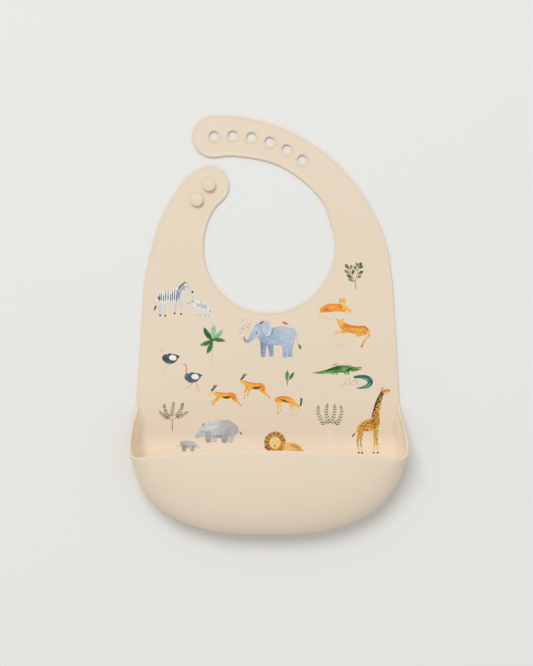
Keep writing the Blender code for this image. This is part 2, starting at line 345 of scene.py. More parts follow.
# the neck is a centre and a radius, each tip a centre, a radius and the angle at which its two edges meet;
# side runs up from the pocket, over and under are the two edges of the right strap, waist and shoulder are
# the heights at which the sheet is divided, and the cuts are the points left out for the left tip's fillet
outline = dict(
    neck=((-0.1, 59.3), 50.0), leftTip=((-45.2, 105.8), 15.6, 48.0), rightTip=((-41.6, 143.4), 16.5, 183.0),
    side=((100.3, -58), (98.8, -24.7), (97.65, -3.3), (96.0, 18.1), (94.1, 36.4), (89.3, 60.9), (80.4, 85.3),
          (64.7, 109.7)),
    over=((41.4, 132.5), (10.5, 150.3), (-20.6, 158.6)),
    under=((41.3, 92.8), (25.4, 110.0), (2.9, 122.9), (-25.2, 128.0)),
    waist=-54.0, shoulder=28.0, shoulderTurn=122, neckTurn=15, neckCut=4, tipCut=5, sway=(1.1, 62.0, 28.0),
)
neckCentre, neckRadius = outline["neck"]


def neckAngle(y):
    # degrees round the neck circle, on its right, at height y
    return math.degrees(math.asin((y - neckCentre[1]) / neckRadius))


def swayed(line):
    # the sheet lies a little to the right round the neck: a bell-shaped shift of x
    reach, middle, wide = outline["sway"]
    return line + np.column_stack([reach * np.exp(-((line[:, 1] - middle) / wide) ** 2), np.zeros(len(line))])


def makeLines():
    # every free edge of the flat sheet, in millimetres, each starting at its lower end
    tip, tipRadius, tipTurn = outline["rightTip"]
    rightOuter = np.vstack([through(list(outline["side"]) + list(outline["over"])
                                    + [(tip[0], tip[1] + tipRadius)]),
                            arcPoints(tip, tipRadius, 90, tipTurn)[1:]])
    low = neckAngle(outline["shoulder"])
    bend = arcPoints(neckCentre, neckRadius, low, outline["neckTurn"])
    rightInner = np.vstack([bend,
                            through([bend[-1]] + list(outline["under"]) + [(tip[0], tip[1] - tipRadius)])[1:],
                            arcPoints(tip, tipRadius, 270, tipTurn)[1:]])
    tip, tipRadius, tipTurn = outline["leftTip"]
    meet = math.degrees(math.atan2(tip[1] - neckCentre[1], tip[0] - neckCentre[0]))
    neckSide = arcPoints(neckCentre, neckRadius, 180 - low, meet)
    tipSide = arcPoints(tip, tipRadius, meet - 180, tipTurn)
    # a fillet between the neck circle and the tip: a quadratic curve whose middle point is where they meet
    a, b = neckSide[:-outline["neckCut"]], tipSide[outline["tipCut"]:]
    t = np.linspace(0, 1, 12)[1:-1, None]
    leftInner = np.vstack([a, (1 - t) ** 2 * a[-1] + 2 * t * (1 - t) * tipSide[0] + t ** 2 * b[0], b])
    side = np.array(outline["side"]) * (-1, 1)
    tipEdge = arcPoints(tip, tipRadius, outline["shoulderTurn"], tipTurn)
    leftOuter = np.vstack([through(list(side) + [tipEdge[0]]), tipEdge[1:]])
    neckLow = arcPoints(neckCentre, neckRadius, 180 - low, 360 + low, 120)
    found = dict(rightOuter=rightOuter, rightInner=rightInner, leftInner=leftInner, leftOuter=leftOuter,
                 neckLow=neckLow)
    return {name: swayed(line) for name, line in found.items()}


lines = makeLines()
freeEdge = np.vstack([lines["rightOuter"], lines["rightInner"][::-1], lines["neckLow"][::-1],
                      lines["leftInner"], lines["leftOuter"][::-1]])


def fromHeight(line, y):
    # the part of an edge that starts where it first reaches height y
    i = int(np.argmax(line[:, 1] >= y))
    share = (y - line[i - 1, 1]) / (line[i, 1] - line[i - 1, 1]) if i else 0.0
    start = line[i - 1] + (line[i] - line[i - 1]) * share if i else line[0]
    return np.vstack([start, line[i + (np.linalg.norm(line[i] - start) < 1e-6):]])


# the sheet's rounded edge

edge = dict(half=1.0, bead=0.24, beadAt=1.15, beadWide=0.75, lipHalf=0.9, lipFade=1.7, mostShare=0.42,
            middleSteps=12, station=1.1, endPower=1.8)
edgeSteps = edge["half"] * (1 - np.cos(np.radians(np.array([0, 14, 28, 43, 58, 74, 90]))))
edgeSteps = np.concatenate([edgeSteps, [1.35, 1.8, 2.4, 3.2, 4.3]])


def edgeHeights(distance, lip=0.0):
    # half thickness on the front and on the back: a quarter circle at the edge, then a low bead that
    # fades into the sheet; lip is 0 on the plain edge and 1 on the pocket's thicker lip
    radius = edge["half"] + (edge["lipHalf"] - edge["half"]) * lip
    inside = np.clip(distance / radius, 0, 1)
    roundOff = np.sqrt(np.clip(1 - (1 - inside) ** 2, 0, 1))
    past = np.clip(distance - radius, 0, None)
    body = edge["half"] + (radius - edge["half"]) * np.exp(-(past / edge["lipFade"]) ** 2)
    bead = edge["bead"] * (1 - lip) * np.exp(-((distance - edge["beadAt"]) / edge["beadWide"]) ** 2) * inside
    return roundOff * body + bead, roundOff * body


def acrossShares(width):
    # shares of the way across a strap: close together at both edges, even between them
    steps = edgeSteps * min(1.0, edge["mostShare"] * width / edgeSteps[-1])
    inner = np.linspace(steps[-1], width - steps[-1], edge["middleSteps"] + 2)[1:-1]
    return np.concatenate([steps, inner, (width - steps)[::-1]]) / width


def flatSkin(name, plan, material):
    # plan is a grid of (x, y) in millimetres at the sheet's mid height
    front, back = edgeHeights(distanceTo(plan, freeEdge))
    middle = np.concatenate([plan, np.full(plan.shape[:2] + (1,), edge["half"])], -1) * mm
    up = np.zeros_like(middle)
    up[..., 2] = 1
    return solidSkin(name, middle, up, front * mm, back * mm, material)


def strapPlan(inner, outer):
    # straight lines from the inner edge to the outer edge, one for each station
    widths = np.linalg.norm(outer - inner, axis=1)
    shares = np.array([acrossShares(max(w, 1e-3)) for w in widths])
    return inner[:, None] + (outer - inner)[:, None] * shares[..., None]


def strapStations(inner, outer, seams):
    # seams pairs lengths along the two edges; the last pair is the strap's round end, where the
    # stations close up: 1 - (1 - share) to a power
    found = []
    for (i0, o0), (i1, o1) in zip(seams, seams[1:]):
        count = max(2, int(max(i1 - i0, o1 - o0) / edge["station"]))
        share = np.linspace(0, 1, count)
        if (i1, o1) == seams[-1]:
            share = 1 - (1 - share) ** edge["endPower"]
        found.append((alongLine(inner, i0 + (i1 - i0) * share), alongLine(outer, o0 + (o1 - o0) * share)))
    return found


def lengthAt(line, point):
    # length along the line to its point nearest to the given one
    return lengthsOf(line)[np.argmin(np.linalg.norm(line - np.asarray(point), axis=1))]


# the pieces of each strap from the shoulder on, and the places on its two edges where they meet
straps = dict(
    left=(("left_strap_skin", "left_tip_skin"), [((-49.6, 58.0), (-88.4, 66.5))]),
    right=(("right_strap_skin", "right_middle_skin", "right_tip_skin"),
           [((47.9, 75.0), (80.0, 85.8)), ((32.5, 104.5), (47.0, 129.5))]),
)


def makeStraps():
    pieces = {}
    for side, (names, meets) in straps.items():
        inner, outer = (fromHeight(lines[side + which], outline["shoulder"]) for which in ("Inner", "Outer"))
        seams = [(0, 0)] + [(lengthAt(inner, a), lengthAt(outer, b)) for a, b in meets]
        seams.append((lengthsOf(inner)[-1], lengthsOf(outer)[-1]))
        for name, (i, o) in zip(names, strapStations(inner, outer, seams)):
            pieces[name] = flatSkin(name, strapPlan(i, o), silicone)
    return pieces


# shoulder sheet

waist = dict(sideColumns=30, frontColumns=70, sideReach=24.0, sidePower=1.8, rows=64)


def sideAt(y):
    # x of the sheet's right side at height y
    return float(np.interp(y, *lines["rightOuter"][:60, ::-1].T))


def waistLine():
    # x of each column where the shoulder sheet meets the pocket piece: close together at both ends
    half = sideAt(outline["waist"])
    share = np.arange(waist["sideColumns"]) / waist["sideColumns"]
    side = half - waist["sideReach"] * share ** waist["sidePower"]
    middle = np.linspace(half - waist["sideReach"], waist["sideReach"] - half, waist["frontColumns"] + 1)
    return np.concatenate([-side, -middle, side[::-1]])


def makeShoulder():
    # columns run from the waist up to a line that follows the two strap roots and the neck edge
    x = waistLine()
    low = np.column_stack([x, np.full(len(x), outline["waist"])])
    y = outline["shoulder"]
    left = strapPlan(lines["leftInner"][:1], fromHeight(lines["leftOuter"], y)[:1])[0][::-1]
    right = strapPlan(lines["rightInner"][:1], fromHeight(lines["rightOuter"], y)[:1])[0]
    turns = len(x) - len(left) - len(right) + 2
    neck = swayed(arcPoints(neckCentre, neckRadius, 180 - neckAngle(y), 360 + neckAngle(y), turns))
    high = np.vstack([left, neck[1:-1], right])
    length = np.linalg.norm(high - low, axis=1)
    near = edgeSteps[::-1][None] / length[:, None]
    even = np.linspace(0, 1, waist["rows"], endpoint=False)[None]
    rows = np.concatenate([even * (1 - near[:, :1]), 1 - near], 1)
    plan = low[:, None] + (high - low)[:, None] * rows[..., None]
    return flatSkin("shoulder_skin", plan, silicone)


# crumb pocket

# half widths at the mouth and at the foot; the heights up the sheet at which the side walls start, the
# mouth's corners, the widest place, the bottom and the mouth are; the power of the lower outline; then how
# far the walls rise and how wide they bend at the foot, in front and beside, and the counts of points
pocket = dict(half=102.8, footHalf=102.4, start=-58.0, corner=-93.0, belly=-86.0, bottom=-157.9, round=2.53,
              mouth=-93.5, cornerRadius=5.5, crown=5.7, cornerHeight=36.5, height=40.7, foot=7.0,
              footHeight=12.0, sideFoot=9.0, sideFootHeight=15.0, footFade=(-135.0, 35.0), footShare=0.95,
              lean=80.0, power=0.84, sidePower=1.6, sway=(0.7, -99.0, 20.0), neckward=-44.0, lip=(4.0, 24.0),
              floorSteps=60, footSteps=24, wallSteps=70, rows=128)


def pocketGuides():
    # for each column: outline point, mouth point and height, going round from the left to the right; the
    # lower outline is a super-ellipse and the mouth bows up by a parabola between two round corners
    p = pocket
    sideShare = (np.arange(waist["sideColumns"]) / waist["sideColumns"]) ** p["sidePower"]
    y = p["start"] + (p["corner"] - p["start"]) * sideShare
    edgeX = lines["rightOuter"][0, 0]
    x = edgeX + (p["half"] - edgeX) * ease(sideShare)
    side = np.column_stack([x, y])
    a = np.radians(np.linspace(0, 180, 361))
    belly = np.column_stack([np.sign(np.cos(a)) * np.abs(np.cos(a)) ** (2 / p["round"]) * p["footHalf"],
                             p["belly"] - np.abs(np.sin(a)) ** (2 / p["round"]) * (p["belly"] - p["bottom"])])
    belly = belly[belly[:, 1] < p["corner"] - 0.5]
    top = np.array([[p["half"], p["corner"]]])
    under = np.vstack([top * (-1, 1), (belly * (-1, 1)), top])
    low = p["mouth"] - p["crown"]
    inner = p["half"] - p["cornerRadius"]
    bend = arcPoints((inner, low + p["cornerRadius"]), p["cornerRadius"], 0, -90, 24)
    across = np.linspace(inner, -inner, 200)[1:-1]
    crown = np.column_stack([across, low + p["crown"] * (1 - (across / inner) ** 2)])
    mouth = np.vstack([top, bend, crown, (bend * (-1, 1))[::-1], top * (-1, 1)])[::-1]
    count = waist["frontColumns"]
    footLine = alongLine(under, np.linspace(0, lengthsOf(under)[-1], count + 1))
    mouthLine = alongLine(mouth, np.linspace(0, lengthsOf(mouth)[-1], count + 1))
    rise = p["cornerHeight"] + (p["height"] - p["cornerHeight"]) * (1 - (mouthLine[:, 0] / p["half"]) ** 2)
    sideRise = p["cornerHeight"] * ease(sideShare)
    footLine = np.vstack([side * (-1, 1), footLine, side[::-1]])
    mouthLine = np.vstack([side * (-1, 1), mouthLine, side[::-1]])
    # the pocket's corners lie a little to the right: a bell-shaped shift of x
    amount, middle, wide = p["sway"]
    for guide in (footLine, mouthLine):
        guide[:, 0] += amount * np.exp(-((guide[:, 1] - middle) / wide) ** 2)
    return footLine, mouthLine, np.concatenate([sideRise, rise, sideRise[::-1]])


def pocketRibs():
    # one line for each column: along the floor, an arc of an ellipse at the foot, which turns up less
    # where the wall is low, then up the wall and over to the mouth on a super-ellipse
    p = pocket
    foot, mouth, height = pocketGuides()
    run = np.gradient(foot, axis=0)
    inward = np.column_stack([-run[:, 1], run[:, 0]]) / np.linalg.norm(run, axis=1)[:, None]
    start = np.column_stack([waistLine(), np.full(len(foot), outline["waist"])])
    low, reach = p["footFade"]
    beside = ease((foot[:, 1] - low) / reach)
    room = p["footShare"] * (start[-1, 0] - np.abs(start[:, 0]))
    wide = np.minimum(p["foot"] + (p["sideFoot"] - p["foot"]) * beside, room)
    tall = p["footHeight"] + (p["sideFootHeight"] - p["footHeight"]) * beside
    turn = math.pi / 2 * np.clip(height / tall, 0.02, 1)[:, None, None]
    a = turn * np.linspace(0, 1, p["footSteps"])[None, :, None]
    ball = foot[:, None] + inward[:, None] * wide[:, None, None] * (1 - np.sin(a) / np.sin(turn))
    ballRise = np.minimum(tall, height)[:, None, None] * (1 - np.cos(a)) / (1 - np.cos(turn))
    b = np.radians(np.linspace(0, p["lean"], p["wallSteps"] + 1)[1:])[None, :, None]
    last = math.radians(p["lean"])
    across = (1 - np.cos(b) ** p["power"]) / (1 - math.cos(last) ** p["power"])
    up = np.sin(b) ** p["power"] / math.sin(last) ** p["power"]
    front = foot[:, None] + (mouth - foot)[:, None] * across
    frontRise = ballRise[:, -1:] + (height[:, None, None] - ballRise[:, -1:]) * up
    even = np.linspace(0, 1, p["floorSteps"], endpoint=False)[None, :, None]
    floor = start[:, None] + (ball[:, 0] - start)[:, None] * even
    flat = np.concatenate([floor, np.zeros(floor.shape[:2] + (1,))], -1)
    ribs = np.concatenate([flat, np.concatenate([ball, ballRise], -1),
                           np.concatenate([front, frontRise], -1)], 1)
    ribs[..., 2] += edge["half"]
    return ribs


def evenRibs(ribs):
    # the same lines with their points even along them, and close together at the mouth
    found = []
    for rib in ribs:
        total = lengthsOf(rib)[-1]
        close = edgeSteps[::-1] * min(1.0, 0.5 * total / edgeSteps[-1])
        wanted = np.concatenate([np.linspace(0, total - close[0], pocket["rows"], endpoint=False),
                                 total - close])
        found.append(alongLine(rib, wanted))
    return np.array(found)


# painted light and shade on the pocket: shares of the base colour, and the heights and reaches in millimetres
# over which they come in
paintedShadingLook = dict(inside=np.array([1.21, 1.25, 1.29]), steep=np.array([1.25, 1.31, 1.38]), steepGain=1.3,
                  low=np.array([0.95, 0.89, 0.80]), high=np.array([1.03, 1.03, 1.02]), floorShare=0.75,
                  floorFrom=-80.0, floorOver=15.0, wallFrom=1.0, wallOver=8.0, lipOver=5.0,
                  highFrom=2.0, highOver=30.0, outsideOver=12.0)


def paintPocketShading(ribs, normals, border):
    # painted light: lighter inside, most on the steep wall, in place of light that comes through it and
    # bounces round the pocket; painted shade: darker and warmer low down on the outside
    y, z = ribs[..., 1], ribs[..., 2]
    g = paintedShadingLook
    floor = ease((g["floorFrom"] - y) / g["floorOver"]) * g["floorShare"]
    inside = np.maximum(floor, ease((z - g["wallFrom"]) / g["wallOver"]))
    inside = inside * ease(distanceTo(ribs, border) / g["lipOver"])
    steep = ease(g["steepGain"] * (1 - np.abs(normals[..., 2:])))
    # painted light inside the pocket, strongest on the steep walls
    inner = 1 + inside[..., None] * (g["inside"] + (g["steep"] - g["inside"]) * steep - 1)
    high = ease((z - g["highFrom"]) / g["highOver"])[..., None]
    start = ease((pocket["start"] - y) / g["outsideOver"])[..., None]
    # painted shade, darker and warmer low on the outside, with a touch of painted light higher up
    outer = 1 + start * ((1 - high) * g["low"] + high * g["high"] - 1)
    paintedShades = np.vstack([inner.reshape(-1, 3), outer.reshape(-1, 3)])
    return np.column_stack([paintedShades, np.ones(len(paintedShades))])


def makePocket():
    # back, side walls and front in one skin over the ribs, whose free edge is the lip and the sheet's sides
    ribs = evenRibs(pocketRibs())
    normals = np.cross(np.gradient(ribs, axis=0), -np.gradient(ribs, axis=1))
    size = np.linalg.norm(normals, axis=-1, keepdims=True)
    normals = np.where(size > 1e-9, normals / np.maximum(size, 1e-12), (0, 0, 1))
    normals[0], normals[-1] = normals[1], normals[-2]
    top = pocket["neckward"]
    neckward = np.array([[s * sideAt(top), top, edge["half"]] for s in (-1, 1)])
    border = np.vstack([neckward[:1], ribs[:, -1], neckward[1:]])
    low, over = pocket["lip"]
    front, back = edgeHeights(distanceTo(ribs, border), ease((ribs[..., 2] - low) / over))
    # the skin carries the pocket's painted light and shade as a colour attribute
    return solidSkin("pocket_skin", ribs * mm, normals, front * mm, back * mm, siliconePaintedShading,
                     dict(paintedShading=paintPocketShading(ribs, normals, border)))


# holes and studs

# radii and heights in millimetres, first of the holes with their rings and then of the studs
closure = dict(hole=3.55, cut=4.3, ring=6.4, crest=4.5, ringHeight=0.46, ringSink=0.15, holes=6, pitch=14.3,
               stem=2.8, fillet=(1.3, 1.1), sink=0.05, under=(1.6, 1.9, 2.05), head=4.75,
               headRound=(0.7, 0.75), headMiddle=2.8, domeLow=3.62, domeRise=0.22, domeReach=3.9)


def holeCentres():
    # evenly spaced along a curve through the middle of the right strap
    curve = through([(-41.2, 143.6), (-27, 144), (-12.7, 142.8), (1, 139.3), (14.2, 133.4), (26, 125.6),
                     (36, 117)], 40)
    return alongLine(curve, closure["pitch"] * np.arange(closure["holes"]))


def cutHoles(piece):
    # round cutters take the holes out of the strap; the rings then line them
    for x, y in holeCentres():
        bpy.ops.mesh.primitive_cylinder_add(vertices=48, radius=closure["cut"] * mm, depth=20 * mm,
                                            location=(x * mm, y * mm, 0))
        tool = bpy.context.object
        cut = piece.modifiers.new("hole", "BOOLEAN")
        cut.operation = "DIFFERENCE"
        cut.solver = "EXACT"
        cut.object = tool
        ready = bpy.data.meshes.new_from_object(piece.evaluated_get(bpy.context.evaluated_depsgraph_get()))
        piece.modifiers.clear()
        old = piece.data
        piece.data = ready
        bpy.data.meshes.remove(old)
        bpy.data.objects.remove(tool)
    piece.data.set_sharp_from_angle(angle=sharpAngle)


def makeRings():
    # a soft raised ring round each hole: a half ellipse over the sheet, with a skirt outside and a lining
    # down the hole to the back
    c = closure
    top = 2 * edge["half"]
    a = np.radians(np.linspace(180, 20, 12))
    crown = np.column_stack([c["crest"] + (c["crest"] - c["hole"]) * np.cos(a),
                             top - c["ringSink"] + (c["ringHeight"] + c["ringSink"]) * np.sin(a)])
    skirt = [(5.8, top + 0.1), (c["ring"], top - 0.03), (c["ring"], top - 0.5)]
    under = [(4.9, 0.5), (4.9, 0.03), (c["cut"], 0.0), (3.9, 0.08), (c["hole"], 0.35)]
    profile = np.vstack([crown, skirt, under, crown[:1]]) * mm
    rings = [turned("ring", profile, (x * mm, y * mm), siliconeRim) for x, y in holeCentres()]
    return joined("hole_rings", rings)


def makeStud(name, node):
    # a mushroom on the strap: a quarter ellipse at its foot, a stem, a head with a round rim and a low dome
    low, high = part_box(node)
    c = closure
    base = 2 * edge["half"] - c["sink"]
    out, up = c["fillet"]
    fillet = [(c["stem"] + out * (1 - math.sin(t)), base + up * (1 - math.cos(t)))
              for t in np.linspace(0, math.pi / 2, 8)]
    thick, tall = c["headRound"]
    lower = zip((c["stem"], c["stem"] + 0.1, c["head"] - tall), (base + height for height in c["under"]))
    rim = [(c["head"] - thick + thick * math.cos(t), base + c["headMiddle"] + tall * math.sin(t))
           for t in np.linspace(-1.35, 1.45, 14)]
    dome = [(r, base + c["domeLow"] + c["domeRise"] * (1 - (r / c["domeReach"]) ** 2))
            for r in np.linspace(c["domeReach"], 0, 10)]
    profile = np.array([(0, base)] + fillet + list(lower) + rim + dome) * mm
    stud = turned(name, profile, (low + high).xy / 2, siliconeRim)
    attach(stud, "left_tip")
    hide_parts(node)


# creases and baked placement

# millimetres before and after each crease, mostly after it; only the chest fold's pair is read, to choose
# which body a print follows
bendReach = dict(chest_fold=(3.0, 34.0), left_strap_bend=(2.0, 13.0), left_tip_bend=(2.0, 15.0),
                 right_strap_bend=(2.0, 24.0), right_middle_bend=(2.0, 17.0), right_tip_bend=(2.0, 22.0))


def bendAt(piece):
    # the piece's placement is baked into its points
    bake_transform(piece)


def makeSheet():
    pieces = makeStraps()
    pieces["shoulder_skin"] = makeShoulder()
    print("sheet ready")
    pocketPiece = makePocket()
    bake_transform(pocketPiece)
    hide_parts("pocket_wall", "pocket_lip", "chest_panel")
    cutHoles(pieces["right_tip_skin"])
    pieces["hole_rings"] = makeRings()
    plan = dict(shoulder_skin=("chest_fold", "shoulder_panel"),
                left_strap_skin=("left_strap_bend", "left_strap"),
                left_tip_skin=("left_tip_bend", "left_strap_tip"),
                right_strap_skin=("right_strap_bend", "right_strap"),
                right_middle_skin=("right_middle_bend", "right_strap_middle"),
                right_tip_skin=("right_tip_bend", "right_strap_tip"), hole_rings=("right_tip_bend", None))
    for name, (joint, node) in plan.items():
        bendAt(pieces[name])
        if node:
            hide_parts(node)


makeSheet()
for studName, studNode in (("closure_stud_upper", "stud_upper"), ("closure_stud_lower", "stud_lower")):
    makeStud(studName, studNode)
print("silicone ready")


# printed animals and plants

def srgb(red, green, blue):
    # screen values up to 255 as linear light: a straight foot below 0.04045, then a power of 2.4
    c = np.array([red, green, blue]) / 255
    return np.where(c < 0.04045, c / 12.92, ((c + 0.055) / 1.055) ** 2.4)


inks = dict(white=srgb(240, 240, 234), pearl=srgb(216, 222, 220), stripe=srgb(86, 88, 93),
            paleStripe=srgb(158, 166, 168), soot=srgb(46, 40, 40), slate=srgb(56, 66, 78),
            slateLight=srgb(86, 95, 108), rose=srgb(228, 160, 148), peach=srgb(236, 198, 172),
            blush=srgb(226, 180, 160), blue=srgb(150, 168, 190), blueDeep=srgb(118, 138, 170),
            blueLight=srgb(184, 198, 214), lilac=srgb(192, 196, 216), forest=srgb(28, 88, 40),
            leaf=srgb(72, 134, 52), mint=srgb(148, 196, 156), mintDeep=srgb(112, 172, 124),
            olive=srgb(128, 138, 78), oliveDark=srgb(88, 98, 46), bark=srgb(142, 128, 104),
            sage=srgb(86, 116, 90), sageLight=srgb(164, 180, 152), sageDark=srgb(58, 84, 62),
            orange=srgb(243, 152, 42), orangeDeep=srgb(226, 126, 32), amber=srgb(242, 180, 66),
            straw=srgb(240, 208, 132), rust=srgb(204, 106, 62), brown=srgb(118, 66, 24),
            brownDark=srgb(72, 42, 20), trunk=srgb(245, 239, 230), umber=srgb(92, 50, 16),
            cocoa=srgb(64, 36, 30), grey=srgb(178, 178, 178), greyLight=srgb(208, 212, 210),
            mauve=srgb(158, 150, 160), ochre=srgb(222, 172, 70), ochreDeep=srgb(206, 144, 44),
            mane=srgb(208, 150, 58), maneDark=srgb(158, 106, 38), face=srgb(242, 214, 140),
            grass=srgb(112, 160, 66), teal=srgb(34, 98, 78), tealLight=srgb(104, 164, 140),
            pink=srgb(206, 112, 116), haze=srgb(206, 196, 144))
# millimetres: the lowest ink's height over the sheet, the rise from one group to the next, which its strokes
# share out in turns, the depth of each stroke and the size of its grid
paint = dict(lift=0.035, layer=0.012, turns=8, under=0.15, step=0.55, least=8, leastPointed=12, cross=1.1,
             across=(4, 16), caps=6)
goldenStep = 0.618


def band(*points):
    # a brush stroke through points of (x, y, half width)
    return through(points, 12)


def leg(*points, cap=0.3):
    # a stroke whose far end is cut nearly square: the fourth column is the depth of its cap
    path = band(*points)
    return np.column_stack([path, np.full(len(path), cap)])


def blade(x0, y0, x1, y1, wide, bend=0.0, belly=1.0):
    # a pointed leaf: its half width is wide * sin(pi * t to the power belly) to the power 0.7, so that a
    # belly over 1 makes it fuller near its tip; bend bows it sideways by a parabola
    t = np.linspace(0, 1, 22)
    run = np.array([x1 - x0, y1 - y0])
    bow = bend * 4 * t * (1 - t)
    spine = np.array([x0, y0]) + run * t[:, None] + np.array([-run[1], run[0]]) * bow[:, None]
    return np.column_stack([spine, wide * np.sin(math.pi * t ** belly) ** 0.7])


def oval(x, y, rx, ry=None, turn=0.0):
    # an ellipse as a stroke: rx * cos a along it, with a half width of ry * sin a
    a = np.linspace(math.pi, 0, 17)
    lean = math.radians(turn)
    along = rx * np.cos(a)
    return np.column_stack([x + along * math.cos(lean), y + along * math.sin(lean), (ry or rx) * np.sin(a)])


def dots(rx, ry, *places):
    # upright ovals of one size
    return [oval(x, y, rx, ry) for x, y in places]


def sideOf(path):
    # unit directions along the path and to its left
    run = np.gradient(path[:, :2], axis=0)
    run /= np.maximum(np.linalg.norm(run, axis=1), 1e-9)[:, None]
    return run, np.column_stack([-run[:, 1], run[:, 0]])


def spot(path, share, across):
    # the place at a share of a stroke's length and of its half width
    at = np.clip(share, 0, 1) * (len(path) - 1)
    i = np.arange(len(path))
    side = sideOf(path)[1]
    x, y, w, sx, sy = (np.interp(at, i, column) for column in (*path[:, :3].T, *side.T))
    return x + sx * w * across, y + sy * w * across


def stripes(path, count, wide, start=0.04, end=0.96, cover=0.9, lean=0.0):
    # pointed strokes across a wider stroke, each reaching one of its edges and falling short of the other
    made = []
    for i, share in enumerate(np.linspace(start, end, count)):
        low, high = (-cover, cover * 0.62) if i % 3 == 1 else (-cover * 0.75, cover)
        made.append(blade(*spot(path, share, low), *spot(path, share + lean, high), wide))
    return made


def spots(path, along, across, size, seed, start=0.03, end=0.97):
    # rows of small rounded patches over a stroke, staggered, each a little out of place
    rng = np.random.default_rng(seed)
    made = []
    half = 0.5 * (end - start) / max(1, along - 1)
    for i, share in enumerate(np.linspace(start, end, along)):
        for j in range(across):
            side = (j + 0.5 + 0.5 * (i % 2) - across / 2 - 0.25) / across * 1.6
            x, y = spot(path, share + half * (j % 2) + rng.uniform(-0.01, 0.01),
                        side + rng.uniform(-0.1, 0.1))
            r = size * rng.uniform(0.7, 1.25)
            made.append(oval(x, y, r, r * rng.uniform(0.78, 1.0), rng.uniform(0, 180)))
    return made


def scatter(x, y, wide, high, count, size, seed):
    # small patches strewn over a box: even steps up it, and steps of the golden ratio across it
    rng = np.random.default_rng(seed)
    made = []
    for i in range(count):
        r = size * rng.uniform(0.6, 1.3)
        across = 2 * ((i * goldenStep + rng.uniform(0, 0.15)) % 1) - 1
        up = 2 * (i + 0.5) / count - 1
        made.append(oval(x + across * wide, y + up * high, r, r * rng.uniform(0.6, 0.9), rng.uniform(0, 180)))
    return made


def frond(points, pairs, length, wide, start=0.1):
    # pairs of small leaves along a stem, shorter towards its tip, and one at the tip; and the stem itself
    stem = through([(*p, 0.12) for p in points], 12)
    run, side = sideOf(stem)
    made = []
    for share in np.linspace(start, 0.97, pairs):
        i = int(share * (len(stem) - 1))
        reach = length * (1 - 0.45 * share)
        for turn in (-1, 1):
            tip = stem[i, :2] + (run[i] * 0.7 + side[i] * turn * 0.72) * reach
            made.append(blade(*stem[i, :2] + side[i] * turn * 0.08, *tip, wide * (1 - 0.3 * share)))
    tip = stem[-1, :2] + run[-1] * length * 0.6
    return made + [blade(*stem[-1, :2], *tip, wide)], stem


def brushGrid(path, rounded):
    # the stroke as a grid: across its width at each station; a stroke with pointed ends has closer stations
    # there, by a cosine, and a rounded one has a half-round cap at each end, the far one blunt where it says
    have = lengthsOf(path[:, :2])
    count = max(paint["least"], int(have[-1] / paint["step"]) + 1)
    even = np.linspace(0, have[-1], count)
    if not rounded:
        even = have[-1] * (1 - np.cos(np.linspace(0, math.pi, max(count, paint["leastPointed"])))) / 2
    line = np.column_stack([np.interp(even, have, column) for column in path.T])
    run, side = sideOf(line)
    centre, wide = line[:, :2], line[:, 2]
    if rounded:
        a = np.linspace(math.pi / 2, 0, paint["caps"] + 1)[:-1]
        blunt = path[0, 3] if path.shape[1] > 3 else 1.0
        head = centre[0] - run[0] * wide[0] * np.sin(a)[:, None]
        tail = centre[-1] + run[-1] * wide[-1] * blunt * np.sin(a[::-1])[:, None]
        centre = np.vstack([head, centre, tail])
        wide = np.concatenate([wide[0] * np.cos(a), wide, wide[-1] * np.cos(a[::-1])])
        side = np.vstack([np.repeat(side[:1], paint["caps"], 0), side,
                          np.repeat(side[-1:], paint["caps"], 0)])
    across = np.linspace(-1, 1, int(np.clip(2 * wide.max() / paint["cross"], *paint["across"])) + 1)
    grid = centre[:, None] + side[:, None] * (wide[:, None] * across[None])[..., None]
    along = np.broadcast_to(np.linspace(0, 1, len(centre))[:, None], grid.shape[:2])
    return grid, along, np.broadcast_to(across[None], grid.shape[:2])


inkLook = dict(clouds=420.0, grain=2600.0, middle=0.74, cloudDepth=0.5, grainDepth=0.2, rimDepth=0.12,
               rimPower=7.0, coolness=0.01, paleFrom=0.55, paleGain=1.6,
               pale=(0.86, 0.83, 0.76, 1), bump=0.15, bumpDepth=0.05 * mm)


def makeInk():
    # watercolour: the stroke's own colour, paler and deeper in soft clouds, grainy, with a darker rim
    look = inkLook
    finish = Finish("watercolourInk", Roughness=0.6, IOR=1.4)
    ink = finish.node("Attribute", {"attribute_name": "ink"}, output=0)
    flow = finish.node("SeparateXYZ", output=1,
                       Vector=finish.node("Attribute", {"attribute_name": "flow"}, output=1))
    cloud = finish.noise(look["clouds"], 3.0, rough=0.6)
    grain = finish.noise(look["grain"], 2.0)
    rim = flow.math("ABSOLUTE") ** look["rimPower"]
    depth = look["middle"] + cloud * look["cloudDepth"] + (grain - 0.5) * look["grainDepth"]
    depth = depth - rim * look["rimDepth"]
    pale = finish.mix(((cloud - look["paleFrom"]) * look["paleGain"]).clamp(), ink, look["pale"])
    shade = finish.node("CombineXYZ", X=depth, Y=depth, Z=depth + look["coolness"])
    finish.feed("Base Color", finish.mix(1.0, pale, shade, "MULTIPLY"))
    finish.bump(grain, look["bump"], look["bumpDepth"])
    return finish.material


watercolour = makeInk()


